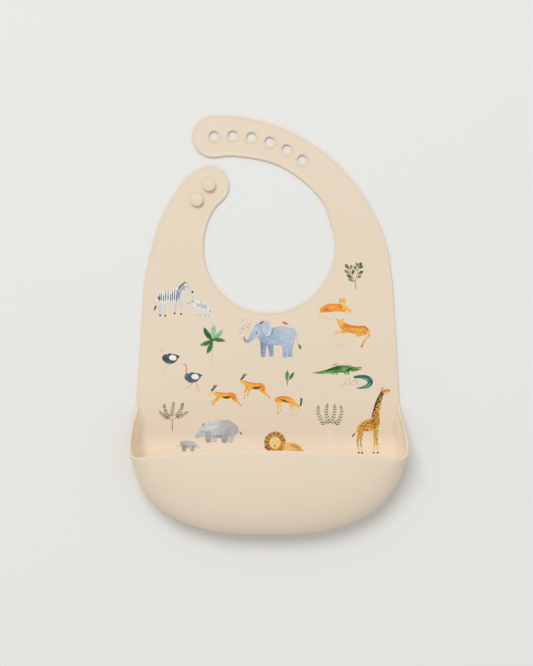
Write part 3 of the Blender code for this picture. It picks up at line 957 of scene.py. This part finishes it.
def printMotif(name, x, y, *groups):
    # each group is a colour, or two for a wash along the stroke, and its strokes; later groups lie on top
    points, faces, colours, flows = [], [], [], []
    count = 0
    for layer, (colour, strokes) in enumerate(groups):
        first, last = (inks[c] for c in (colour if isinstance(colour, tuple) else (colour, colour)))
        low = 2 * edge["half"] + paint["lift"] + paint["layer"] * layer
        for i, path in enumerate(strokes):
            grid, along, across = brushGrid(path, path[0, 2] > 1e-6 or path[-1, 2] > 1e-6)
            height = low + paint["layer"] * (i % paint["turns"]) / paint["turns"]
            top = np.concatenate([grid + (x, y), np.full(grid.shape[:2] + (1,), height)], -1)
            bottom = top - (0, 0, paint["under"])
            made, quads = closedGrid(top * mm, bottom * mm)
            shade = first + (last - first) * ease(along)[..., None]
            shade = np.concatenate([shade, np.ones(along.shape + (1,))], -1)
            flow = np.stack([along, across, np.zeros_like(along)], -1)
            colours.append(np.tile(shade.reshape(-1, 4), (2, 1)))
            flows.append(np.tile(flow.reshape(-1, 3), (2, 1)))
            points.append(made)
            faces.append(quads + count)
            count += len(made)
    piece = addMesh(name, np.vstack(points), np.vstack(faces), watercolour, outward=True,
                    extra=dict(ink=np.vstack(colours), flow=np.vstack(flows)))
    fold, strap = (joints[name]["pos_m"][1] for name in ("chest_fold", "right_strap_bend"))
    before, after = bendReach["chest_fold"]
    low, high = (f(v.co.y for v in piece.data.vertices) for f in (min, max))
    if high < fold - before * mm:
        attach(piece, "chest")
    elif high > strap:
        bendAt(piece)
    elif low > fold + after * mm:
        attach(piece, "shoulder")
    else:
        bendAt(piece)


def thin(wide, *points):
    # a stroke of one half width all along
    return through([(*p, wide) for p in points], 12)


def printZebras():
    body = band((-8.6, -1.4, 1.6), (-7.2, -1.0, 3.5), (-3.5, -0.4, 4.4), (0.9, 0.1, 4.8), (4.6, 0.4, 5.0),
                (7.6, 0.8, 3.4))
    neck = band((5.0, 2.6, 3.6), (8.4, 5.6, 3.2), (11.4, 8.3, 2.3))
    head = band((11.8, 8.9, 1.9), (14.6, 6.6, 1.5), (16.8, 4.2, 1.0))
    legs = [leg((-6.4, -3.6, 2.2), (-7.4, -8.6, 0.85), (-7.2, -13.4, 0.5)),
            leg((-4.9, -4.4, 1.8), (-4.4, -9, 0.7), (-3.5, -13.6, 0.45)),
            leg((4.8, -3.6, 1.6), (4.6, -8, 0.7), (4.0, -11.8, 0.42)),
            leg((6.8, -3, 1.7), (9.6, -7.2, 0.65), (8.8, -12.2, 0.42))]
    cuffs = [s for shank in legs for s in stripes(shank, 6, 0.2, 0.25, 0.88, 1.0)]
    printMotif("print_zebra", -75.0, 20.9, ("pearl", legs + [thin(0.25, (-9.0, -0.6), (-10.2, -5.6))]),
               (("white", "pearl"), [body, neck, head]),
               ("paleStripe", cuffs + stripes(head, 6, 0.24, 0.1, 0.75)),
               ("stripe", stripes(body, 13, 0.4, 0.0, 0.98, 1.0, 0.04)
                          + stripes(neck, 6, 0.36, 0.15, 0.95, 1.0)
                          + [band((6.4, 5.8, 0.3), (8.6, 8.4, 0.6), (11.0, 10.4, 0.5)),
                             blade(11.6, 9.8, 11.8, 11.8, 0.5), blade(12.9, 9.8, 13.6, 11.0, 0.4)]),
               ("soot", [oval(17.4, 3.7, 0.95, 0.8, 60), blade(-10.1, -6.4, -11.9, -10.6, 0.6),
                         oval(14.3, 8.0, 0.28),
                         *dots(0.75, 0.75, (-7.2, -14.1), (-3.3, -14.4), (3.9, -12.5), (8.7, -13.0))]))
    body = band((-2.4, 0.6, 2.5), (1.8, -0.4, 2.8), (5.7, -1.4, 2.3))
    neck = band((-2.4, 1.6, 2.0), (-4.6, 3.7, 1.8), (-6.2, 3.2, 1.3), (-7.8, 1.6, 0.8))
    legs = [thin(0.55, (-2.3, -1.6), (-2.2, -6.6)), thin(0.55, (-0.2, -2), (0.4, -6.6)),
            thin(0.55, (5, -3), (4.8, -7.2)), thin(0.55, (6.6, -2.6), (7, -7.2))]
    printMotif("print_foal", -52.2, 14.3, ("pearl", legs), (("white", "pearl"), [body, neck]),
               ("paleStripe", stripes(body, 8, 0.36) + stripes(neck, 6, 0.26, 0.15)
                              + [blade(-4.9, 5.2, -5.4, 6.8, 0.35)]),
               ("stripe", [oval(8.2, -4.4, 0.45, 0.6), oval(-8.3, 1.3, 0.5),
                           *dots(0.38, 0.38, (-2.2, -7.2), (0.5, -7.1), (4.8, -7.8), (7.1, -7.8))]))


def printElephant():
    body = band((12.0, 3.0, 4.7), (7.0, 1.9, 6.9), (0.0, 1.0, 6.7), (-5.0, 1.5, 6.5), (-8.6, 3.0, 5.4))
    legs = [leg((-8.4, -2.5, 3.0), (-8.9, -8.5, 2.0), (-8.9, -13.8, 1.9), cap=0.55),
            leg((-4.2, -3, 2.6), (-3.1, -8.5, 1.9), (-2.7, -13.5, 1.8), cap=0.55)]
    hind = [leg((7.2, -2, 3.6), (7.6, -8.5, 1.9), (7.8, -14.2, 1.75), cap=0.55),
            leg((12.0, -1, 3.2), (11.7, -8, 1.9), (11.6, -13.8, 1.75), cap=0.55)]
    trunk = band((-13.6, 5.0, 3.4), (-16.6, 1.6, 2.4), (-19.2, -1.5, 1.6), (-21.4, -2.7, 1.2),
                 (-23.2, -1.4, 0.8), (-23.3, 0.6, 0.5))
    printMotif("print_elephant", 5.3, -10.3, (("blueDeep", "blue"), legs), (("lilac", "blue"), hind),
               (("blueLight", "blue"), [body]), (("blueLight", "blue"), [oval(-11.0, 5.7, 5.4, 5.6), trunk]),
               ("blueDeep", [band((-3.8, 8.6, 0.4), (-2.5, 4.5, 0.9), (-4.6, 1.0, 0.7)),
                             band((-9, -5.5, 0.4), (-9.9, -9, 0.6), (-9.7, -12.5, 0.5))]),
               (("lilac", "blueLight"), [oval(-6.2, 6.9, 6.0, 3.6, 100)]),
               ("pearl", [thin(0.2, (-3.8, 10.4), (-2.7, 6.6), (-4.0, 2.6), (-6.0, 1.5))]),
               ("lilac", [band((1.6, 6.0, 0.3), (6, 7.9, 0.6), (11, 6.9, 0.6), (15, 3, 0.35)),
                          thin(0.28, (15.2, 3.4), (16.5, -1.0), (18.5, -5.6))]),
               ("slate", [oval(-14.0, 3.8, 0.55),
                          band((-23.6, 0.6, 0.1), (-22.6, -2.9, 0.12), (-19.6, -3.2, 0.1))]),
               ("oliveDark", [blade(18.2, -4.8, 19.8, -9.0, 0.8), blade(-12.4, 10.3, -8.2, 12.9, 0.6)]),
               ("rust", [blade(5.4, 12.0, 10.2, 10.2, 0.85)]),
               ("grey", scatter(-22.8, 9.0, 4.8, 5.7, 19, 0.44, 5)
                        + scatter(-22.0, 8.0, 2.5, 2.0, 3, 0.62, 9)))


def printCats():
    body = band((-9.2, -1.9, 2.0), (-4.5, -0.4, 3.2), (1.9, 0.0, 2.9), (6.6, -0.5, 2.7))
    printMotif("print_leopard_lying", 50.6, 12.7,
               ("straw", [thin(0.45, (-10.2, -2.2), (-11.2, -5.0), (-8.5, -7.8), (-3.4, -8.6)),
                          band((7.5, -1.6, 1.4), (10, -3.2, 0.9), (12.2, -3.4, 0.8))]), ("orange", [body]),
               ("amber", [band((7, 0.4, 1.9), (9.6, -0.8, 1.3), (12.3, -2.7, 0.7))]),
               ("orangeDeep", [band((-8, -2.4, 0.5), (-5.5, -1.4, 1.4), (-3.4, -2.8, 0.6)),
                               band((3.2, 1.8, 0.5), (5, 0.4, 1.1), (4.6, -1.2, 0.6))]),
               ("rust", scatter(-5.4, -1.2, 2.6, 1.2, 7, 0.26, 4)),
               ("amber", [oval(6.1, 4.3, 2.5, 2.45, 90), *dots(0.75, 0.75, (4.2, 6.5), (8.0, 6.5))]),
               ("straw", [oval(6.1, 3.3, 1.3, 1.0)]),
               ("brown", [oval(6.1, 3.7, 0.32), *dots(0.22, 0.22, (5.1, 4.9), (7.1, 4.9))]))
    body = band((-8.8, 3.0, 2.3), (-4.9, 0.7, 2.9), (1.9, -0.9, 3.1), (8.0, -1.1, 3.4), (11.0, -1.9, 2.1))
    printMotif("print_leopard_resting", 64.8, -3.4,
               (("amber", "straw"), [band((-5.0, -1.8, 1.6), (-10, -2.9, 1.0), (-14.2, -3.9, 0.7))]),
               (("amber", "orangeDeep"), [band((11.4, -2.2, 0.8), (12.2, -5.2, 0.6), (8.4, -9.8, 0.55),
                                               (6.7, -13.8, 0.7))]),
               (("orange", "amber"), [body, band((9.0, -3.6, 1.4), (5.8, -4.8, 0.9), (2.4, -5.3, 0.6))]),
               ("orangeDeep", [band((-7.4, 4.6, 0.4), (-3.6, 2.4, 0.8), (2, 1.4, 0.9), (8.2, 1.3, 0.7),
                                    (11.2, -0.2, 0.4)), thin(0.14, (-13.8, -3.2), (-10, -2.2), (-7, -2.4))]),
               ("amber", [oval(-9.8, 4.4, 2.4, 2.25, 80), *dots(0.7, 0.7, (-11.7, 6.7), (-7.8, 6.7))]),
               ("straw", [oval(-10.4, 3.5, 1.1, 0.9)]),
               ("brown", spots(body, 15, 4, 0.3, 3, 0.12)
                         + [oval(-10.6, 3.9, 0.3), oval(-10.9, 5.0, 0.2), oval(-9.1, 5.0, 0.2),
                            oval(6.7, -13.9, 0.5), oval(-11.7, 7.0, 0.3), oval(-7.8, 7.0, 0.3)]),
               ("haze", scatter(-9.6, -13.2, 3.6, 1.8, 9, 0.4, 8)))
    body = [band((7.0, -3.4, 3.2), (13, -3.4, 3.3), (17.2, -4.6, 2.6), (21.0, -7.0, 1.0))]
    hairs = []
    for i, a in enumerate(np.linspace(0, 2 * math.pi, 40, endpoint=False)):
        reach = 7.5 + 0.3 * math.sin(i * 2.7)
        hairs.append(band((3.6 * math.cos(a), 3.6 * math.sin(a), 0.5),
                          (reach * math.cos(a), reach * math.sin(a), 0.72)))
    printMotif("print_lion", 5.4, -90.1, (("straw", "ochre"), body),
               ("ochreDeep", [band((12, -1.6, 0.5), (15, -3.0, 1.0), (18, -4.4, 0.5))]),
               ("mane", [oval(0, 0, 6.6)]), (("mane", "maneDark"), hairs[1::3]), ("mane", hairs[::3]),
               ("maneDark", hairs[2:30:3]), (("orangeDeep", "mane"), hairs[29::2]),
               ("brown", [blade(-5.2, -3.2, -8.2, -4.2, 0.8), blade(-4.4, -4.4, -7.0, -5.6, 0.5)]),
               ("face", [oval(0, -0.2, 4.4, 4.7)]), ("ochre", scatter(0, 1.4, 2.6, 1.8, 14, 0.2, 12)),
               ("brownDark", [oval(-0.3, -2.4, 0.62, 0.5), oval(-1.7, 0.1, 0.24), oval(1.5, 0.1, 0.24),
                              thin(0.1, (-0.3, -2.8), (-0.3, -3.6))]))


ostriches = dict(print_ostrich_left=dict(place=(-74.4, -26.2), feathers="slate", skin="peach",
                                         shanks="peach", neck=((-5.6, 2.0), (-6.4, 5.6), (-7.4, 8.7)),
                                         legs=[((-1.4, -3.4), (-3.4, -7.4), (-5.4, -10.4))]),
                 print_ostrich_right=dict(place=(-57.4, -40.6), feathers="slateLight", skin="rose",
                                          shanks="blush", neck=((-5.1, 2.2), (-4.7, 6.6), (-5.8, 10.2)),
                                          legs=[((0.4, -3.2), (-1.8, -6.4), (-5.4, -8.2)),
                                                ((2.2, -3.2), (3.5, -7.0), (5.0, -10.4))]), )


def printBirds():
    body = band((-3.4, 0.3, 2.9), (-1.4, -0.1, 4.0), (1.8, 0.2, 3.6), (4.6, 1.1, 2.1), (6.9, 1.7, 0.3))
    for name, bird in ostriches.items():
        x, y = bird["neck"][-1]
        beak = blade(x + 0.3, y + 0.3, x - 1.6, y - 0.3, 0.42)
        printMotif(name, *bird["place"], (bird["shanks"], [thin(0.42, *shank) for shank in bird["legs"]]),
                   (bird["skin"], [thin(0.72, *bird["neck"]), beak]), ((bird["feathers"], "slate"), [body]),
                   ("slateLight", [band((-4.2, 1.6, 0.2), (-2.5, 1.8, 0.35), (0, 2.9, 0.25)),
                                   band((-4, -1.6, 0.2), (-1.6, -2.4, 0.4), (1.4, -2.2, 0.2))]),
                   ("white", [oval(1.9, 0.6, 2.9, 2.1, -8)]),
                   ("pearl", [thin(0.1, (1.0, 0.4), (2.2, 0.9), (3.4, 0.5))]))


# each animal's place, its trunk from the head back, and its legs
leapingGazelles = dict(print_gazelle_running=((-31.8, -54.8), ((-9.2, 2.2, 1.15), (-5, 1.0, 1.8),
                                                               (0, 0.5, 2.1), (4.6, 0.4, 2.3),
                                                               (6.2, -0.9, 1.9)),
                                              (((-5.6, -0.4, 1.0), (-9.0, -3.2, 0.6), (-10.9, -4.9, 0.32)),
                                               ((-5, -0.6, 1.0), (-8.0, -4.0, 0.5), (-9.9, -6.4, 0.3)),
                                               ((6.2, -1.8, 1.8), (8.6, -4.3, 0.85), (11.4, -7.2, 0.35)))),
                       print_gazelle_leaping=((-9.2, -47.5), ((-9.4, 3.4, 1.5), (-5.3, 1.2, 2.3),
                                                              (-0.8, 0.0, 2.4), (3.8, 0.2, 2.3),
                                                              (5.4, -1.2, 2.0)),
                                              (((-6.6, 0, 1.1), (-8.4, -5, 0.5), (-8.8, -8.8, 0.32)),
                                               ((-4.6, -1.6, 1.1), (-5.8, -4.4, 0.55), (-6.3, -6.6, 0.35)),
                                               ((4.6, -2.4, 1.9), (7.2, -5.2, 0.9), (10.4, -8.4, 0.38)))), )


def printGazelles():
    for name, (place, trunk, legs) in leapingGazelles.items():
        trunk, legs = band(*trunk), [band(*shank) for shank in legs]
        dx, dy = trunk[0, :2] - (-9.2, 2.2)
        printMotif(name, *place, (("orange", "amber"), legs),
                   ("straw", [band((-10.2 + dx, 3.0 + dy, 1.0), (-11.6 + dx, 2.2 + dy, 0.85),
                                   (-13.2 + dx, 1.0 + dy, 0.4)),
                              band((-5, -1.1, 0.5), (-1, -2.0, 0.5), (3, -2.0, 0.4))]),
                   (("amber", "orange"), [trunk]),
                   ("orangeDeep", [band((-8.6 + dx, 3.2 + dy, 0.2), (-4.2, 2.4, 0.4), (1, 2.2, 0.35),
                                        (4.6, 2.2, 0.3)),
                                   band((4.6, 0.8, 0.5), (5.6, -1.2, 0.8), (5.2, -2.6, 0.5))]),
                   ("cocoa", [band((-2.6, -0.9, 0.35), (0.4, -1.1, 0.85), (3.6, -0.3, 0.3)),
                              thin(0.38, (-11.4 + dx, 4.0 + dy), (-9.9 + dx, 6.3 + dy),
                                   (-8.6 + dx, 8.2 + dy)),
                              thin(0.36, (-10.8 + dx, 4.1 + dy), (-8.8 + dx, 6.2 + dy),
                                   (-7.2 + dx, 8.3 + dy))]),
                   ("brown", [oval(shank[-1, 0], shank[-1, 1] - 0.2, 0.45, 0.35) for shank in legs]
                             + [oval(-11.6 + dx, 2.8 + dy, 0.2)]))
    body = band((-6.2, 0.9, 1.9), (-3.2, 0.8, 2.4), (0.8, 0.4, 2.4), (4.3, -0.9, 1.9), (7.2, -3.0, 1.3),
                (9.4, -4.6, 1.1))
    printMotif("print_gazelle_grazing", 13.9, -58.1,
               (("amber", "straw"), [band((-6.0, -0.8, 1.5), (-6.4, -5.2, 0.6), (-6.3, -9.2, 0.35)),
                                     band((-4.8, -0.8, 1.2), (-4.6, -4.8, 0.5), (-4.2, -7.4, 0.3)),
                                     band((3.0, -1.6, 1.1), (3.4, -5.4, 0.5), (3.8, -8.6, 0.3)),
                                     band((4.4, -2.0, 1.0), (5.0, -5.2, 0.45), (6.0, -8.6, 0.28))]),
               ("straw", [band((9.6, -4.9, 1.0), (10.2, -6.0, 0.8), (10.7, -7.0, 0.45)),
                          band((-3.6, -1.4, 0.5), (0, -2.0, 0.4), (2.4, -2.2, 0.3))]),
               (("orange", "amber"), [body]),
               ("orangeDeep", [band((-7, 2.0, 0.3), (-3, 2.8, 0.5), (1.2, 2.4, 0.4), (5, 0.6, 0.3)),
                               blade(-7.6, 1.6, -8.4, -1.6, 0.5)]),
               ("cocoa", [band((-4.8, 0.6, 0.3), (-1.8, 0.0, 0.6), (1.8, -1.3, 0.25)),
                          thin(0.42, (10.7, -4.0), (11.2, -1.4), (11.2, 1.6)),
                          thin(0.34, (11.1, -4.0), (11.8, -1.4), (12.2, 1.2))]),
               ("brown", [oval(-6.3, -9.6, 0.45), oval(-4.2, -7.8, 0.38), oval(9.4, -5.0, 0.2)]),
               ("haze", scatter(5.4, -11.4, 3.2, 1.2, 9, 0.42, 21)))


def printCrocodile():
    body = band((-19.8, -2.6, 0.15), (-13.3, -2.3, 1.0), (-6.5, -1.2, 1.8), (0, 0.1, 2.6), (5, 0.2, 2.5),
                (9.5, 0.6, 1.8), (13.3, 1.0, 0.9), (17.5, 1.6, 0.35))
    legs = [band((px, -1.6, 0.9), (px + 0.2, -3.4, 0.45), (px + 1.0, -3.6, 0.3))
            for px in (-4.6, -1.8, 5.0, 7.4)]
    printMotif("print_crocodile", 53.7, -34.5, ("leaf", legs),
               ("leaf", [body, band((11, -0.6, 1.1), (14, -0.3, 0.7), (17.2, 0.2, 0.3))]),
               ("forest", [band((-12, -1.6, 0.2), (-6.5, 0.0, 0.8), (-2.0, 1.0, 1.3), (0.8, 1.6, 0.7)),
                           band((6.5, -0.6, 0.6), (8.6, 0.4, 0.9), (10.6, 1.4, 0.4)),
                           *(blade(px, 2.0 + 0.04 * px, px + 0.5, 3.4 + 0.02 * px, 0.32)
                             for px in np.linspace(-1.5, 9, 9))]),
               ("grass", [band((2.6, -1.2, 0.4), (4.0, 0.2, 1.0), (5.2, 1.6, 0.4)),
                          band((-15, -2.7, 0.2), (-9, -2.4, 0.5), (-4, -1.9, 0.4)),
                          band((12, 1.0, 0.4), (15, 1.2, 0.4), (17, 1.5, 0.2))]),
               ("pink", [blade(-4.8, 3.0, -0.3, 4.5, 0.42)]), ("soot", [oval(10.0, 1.7, 0.2)]))
    coil = band((-6.6, 3.8, 0.85), (-1.9, 4.1, 1.35), (3.0, 3.0, 1.9), (5.4, 0.0, 2.0), (3.2, -3.0, 1.5),
                (-1.2, -4.3, 0.8), (-5.4, -4.7, 0.15))
    printMotif("print_tail", 72.7, -44.1, ("teal", [coil]),
               ("tealLight", [band((-3, 3.0, 0.2), (1.4, 2.9, 0.35), (4.0, 1.0, 0.4)),
                              band((5.4, -0.6, 0.3), (3.6, -2.8, 0.8), (0.4, -3.9, 0.35))]),
               ("sageLight", scatter(-9.6, 0.0, 6.4, 2.8, 16, 0.5, 31)))


def printRhinos():
    body = band((-11.0, 0.3, 3.3), (-6, 0.9, 5.6), (0.9, 0.9, 6.5), (7.9, 0.9, 6.6), (11.4, 0.2, 4.8))
    legs = [leg((-7.0, -3.4, 2.6), (-6.9, -9.0, 1.9)), leg((5.4, -3.4, 3.0), (5.6, -9.1, 2.0))]
    far = [leg((-2.6, -3.8, 2.4), (-2.3, -8.8, 1.8)), leg((10.2, -2.6, 3.0), (10.4, -9.2, 1.8))]
    printMotif("print_rhino", -38.6, -80.7, (("grey", "greyLight"), far),
               (("greyLight", "grey"), [body,
                                        band((-10.0, -1.0, 3.4), (-13.2, -3.2, 2.3), (-15.6, -4.5, 1.5))]),
               (("grey", "mauve"), legs),
               ("mauve", [band((-3, -4.6, 0.6), (1.5, -4.9, 1.0), (4.4, -4.4, 0.6)),
                          band((7.4, -5.0, 0.4), (8.8, -2.6, 0.6), (9.0, 0.6, 0.3)),
                          oval(-10.8, -1.4, 0.9, 0.7)]),
               ("pearl", [band((-8.6, 4.6, 0.3), (-4, 6.2, 0.6), (1, 6.4, 0.4)),
                          band((-8, 1.4, 0.6), (-4, 2.2, 1.6), (0, 3.0, 0.8)),
                          blade(-17.0, -4.0, -17.5, -0.6, 0.55)]),
               ("stripe", [blade(16.8, -0.9, 18.9, -3.7, 0.5), oval(-12.4, -2.6, 0.3),
                           blade(-11.0, 3.0, -10.2, 5.5, 0.4)]))
    body = band((-4.8, 0.9, 2.2), (-0.9, 0.6, 2.9), (3.7, 0.1, 2.5), (6.4, -0.9, 1.4), (7.8, -1.7, 0.6))
    printMotif("print_rhino_calf", -60.4, -92.3,
               (("mauve", "grey"), [leg((-3.4, -1, 2.0), (-3.6, -4.4, 1.5)),
                                    leg((2.8, -1, 1.8), (2.6, -4.2, 1.4))]), (("grey", "greyLight"), [body]),
               ("mauve", [band((-4.6, 0.4, 0.4), (-3.2, -0.6, 0.9), (-1, -1.4, 0.4)),
                          band((2, -0.8, 0.4), (3.4, -1.0, 0.8), (4.4, -1.4, 0.4))]),
               ("stripe", [oval(-8.2, -1.0, 0.4, 0.3), oval(5.6, -0.4, 0.18)]))


def printGiraffe():
    body = band((-7.0, -3.4, 2.7), (-3.3, -2.0, 4.1), (1.4, -0.6, 4.5), (4.3, 0.9, 3.6))
    neck = band((4.2, 1.4, 3.5), (5.3, 8.6, 2.3), (6.9, 15.2, 1.8), (8.9, 21.2, 1.4), (10.0, 24.0, 1.3))
    legs = [band((-7.6, -5.4, 1.7), (-9.1, -14, 0.7), (-8.2, -21.4, 0.42)),
            band((-6.0, -6.0, 1.5), (-6.7, -14, 0.65), (-5.8, -21.6, 0.42)),
            band((3.4, -3.4, 1.7), (3.9, -12, 0.75), (3.2, -21.4, 0.42)),
            band((5.2, -3.0, 1.7), (5.3, -11, 1.0), (6.1, -21.4, 0.45))]
    patches = spots(body, 6, 4, 0.58, 41, 0.0, 0.95) + spots(neck, 12, 2, 0.66, 43, 0.04, 0.9)
    for i, shank in enumerate(legs):
        patches += spots(shank, 8, 1, 0.5 - 0.01 * i, 50 + i, 0.03, 0.72)
    printMotif("print_giraffe", 77.5, -75.8, (("ochre", "straw"), legs), (("ochre", "ochreDeep"), [body]),
               (("ochreDeep", "ochre"), [neck]),
               ("ochreDeep", [band((10.4, 23.8, 1.5), (12.5, 24.5, 1.7), (14.8, 25.2, 1.0)),
                              thin(0.2, (10.0, 25.2), (9.9, 26.9)), thin(0.2, (-9.4, -4.4), (-11.2, -7.4)),
                              blade(9.6, 25.2, 8.2, 26.2, 0.4)]),
               ("straw", [band((11.2, 23.4, 0.3), (12.8, 23.7, 0.5), (14.2, 24.4, 0.3))]),
               ("umber", patches),
               ("brownDark", [band((1.4, 5.0, 0.15), (3.0, 9.4, 0.5), (5.0, 15.6, 0.75), (7.6, 21.6, 0.55),
                                   (9.0, 24.4, 0.25)), oval(9.9, 27.2, 0.5), oval(12.0, 25.0, 0.26),
                              blade(-11.3, -7.2, -13.3, -10.4, 0.55),
                              *dots(0.75, 0.62, (-8.1, -22.2), (-5.7, -22.3), (3.1, -22.2), (6.2, -22.2))]))


def printPlants():
    printMotif("print_palm", -42.8, -12.0,
               ("mint", [oval(0.4 + 0.35 * (-1) ** step, -2.6 - 1.35 * step, 0.3) for step in range(13)]),
               ("mint", [blade(0.4, 0.2, 1.9, 11.6, 2.0, 0.02, 1.15)]),
               (("mintDeep", "mint"), [blade(0.4, 0.0, 8.4, 7.8, 1.65, -0.04, 1.15)]),
               (("forest", "leaf"), [blade(0.0, -0.2, 10.4, -0.8, 1.5, 0.05),
                                     blade(0.4, -0.2, -9.0, -3.8, 1.7, 0.06),
                                     blade(0.4, -0.1, -3.9, -10.6, 1.75, 0.05, 1.15)]),
               ("forest", [blade(0.4, -0.4, -6.0, 9.6, 1.9, 0.05), oval(0.2, 0.0, 0.9)]))
    twig = (((-1.3, 5.4), (-5.6, 8.1)), ((-2.4, 8.3), (-6.8, 10.9)), ((-3.7, 11.4), (-8.7, 14.3)),
            ((-5.0, 14.8), (-8.0, 18.9)), ((-4.3, 14.6), (-3.1, 18.3)), ((-2.5, 10.6), (-1.6, 14.8)),
            ((1.0, 8.2), (4.1, 10.4)), ((1.5, 11.2), (5.7, 13.6)), ((0.9, 13.8), (-1.2, 17.6)),
            ((2.3, 15.6), (5.7, 17.8)), ((2.2, 16.2), (0.4, 20.0)), ((2.8, 17.2), (4.3, 20.2)))
    twigLeaves = [blade(*foot, *tip, 1.2, belly=1.5) for foot, tip in twig]
    printMotif("print_twig", 66.9, 26.9,
               ("bark", [thin(0.3, (0, 0), (-0.5, 5.6)), thin(0.22, (-0.5, 5.4), (-2.6, 9.6), (-4.7, 15.0)),
                         thin(0.22, (-0.4, 5.4), (1.0, 10.8), (2.6, 17.0))]), ("olive", twigLeaves[::2]),
               ("oliveDark", twigLeaves[1::2]))
    printMotif("print_sprout", 14.7, -46.4,
               ("leaf", [thin(0.3, (0, 0), (-0.2, 3.8)), thin(0.22, (0, 2.4), (1.6, 4.4))]),
               ("leaf", [blade(-0.3, 3.4, 0.1, 11.2, 1.35)]),
               (("forest", "leaf"), [blade(1.4, 4.0, 5.3, 9.9, 1.2)]))
    stems = (((-2.4, 8.6), (-5.6, 11.0), (-8.9, 13.8)),
             ((-0.1, 7.2), (-3.3, 11.1), (-5.2, 15.2), (-6.1, 19.0)),
             ((0, 8.4), (-0.4, 13.0), (0.4, 17.2), (0.9, 20.6)), ((2.2, 9.2), (6.4, 11.4), (10.8, 13.8)),
             ((0.5, 8.2), (4.4, 12.4), (6.9, 16.8), (7.8, 20.0)))
    green, brown = [], [thin(0.34, (0, 0), (-0.1, 8.4))]
    for stem in stems:
        leafs, twigLine = frond(stem, 3 + len(stem), 2.7, 0.44, 0.2)
        green.append(leafs)
        brown.append(twigLine)
    printMotif("print_shrub", -72.9, -81.2, ("bark", brown), ("olive", green[0] + green[2]),
               ("oliveDark", green[1]), ("olive", green[3]), ("oliveDark", green[4]))
    stems = (((-4.0, 0.9), (-7.2, 5.6), (-9.2, 10.6), (-8.9, 14.6)),
             ((-1.2, 1.6), (-2.3, 7.0), (-2.9, 11.8), (-2.1, 16.0)),
             ((1.4, 1.6), (2.7, 7.0), (3.7, 11.8), (3.6, 15.6)),
             ((4.3, 0.9), (7.3, 5.2), (8.9, 10.2), (8.4, 14.4)))
    fronds = [frond(stem, 8, 2.7, 0.4, 0.03) for stem in stems]
    rings = [oval(0, py, 0.85 + 0.07 * (py + 14.6), 0.5) for py in np.arange(-14.6, -3.4, 1.75)]
    rings += scatter(0, -1.6, 4.2, 1.8, 12, 0.4, 61)
    printMotif("print_feather_palm", 47.3, -77.8, ("trunk", rings),
               ("sageLight", [stem for _, stem in fronds]), ("sage", fronds[0][0] + fronds[2][0][::2]),
               ("sageDark", fronds[3][0] + fronds[2][0][1::2]),
               ("sageDark", fronds[1][0][::2] + fronds[0][0][::3]), ("sage", fronds[1][0][1::2]))


printZebras()
printElephant()
printCats()
printBirds()
printGazelles()
printCrocodile()
printRhinos()
printGiraffe()
printPlants()
print("prints ready")
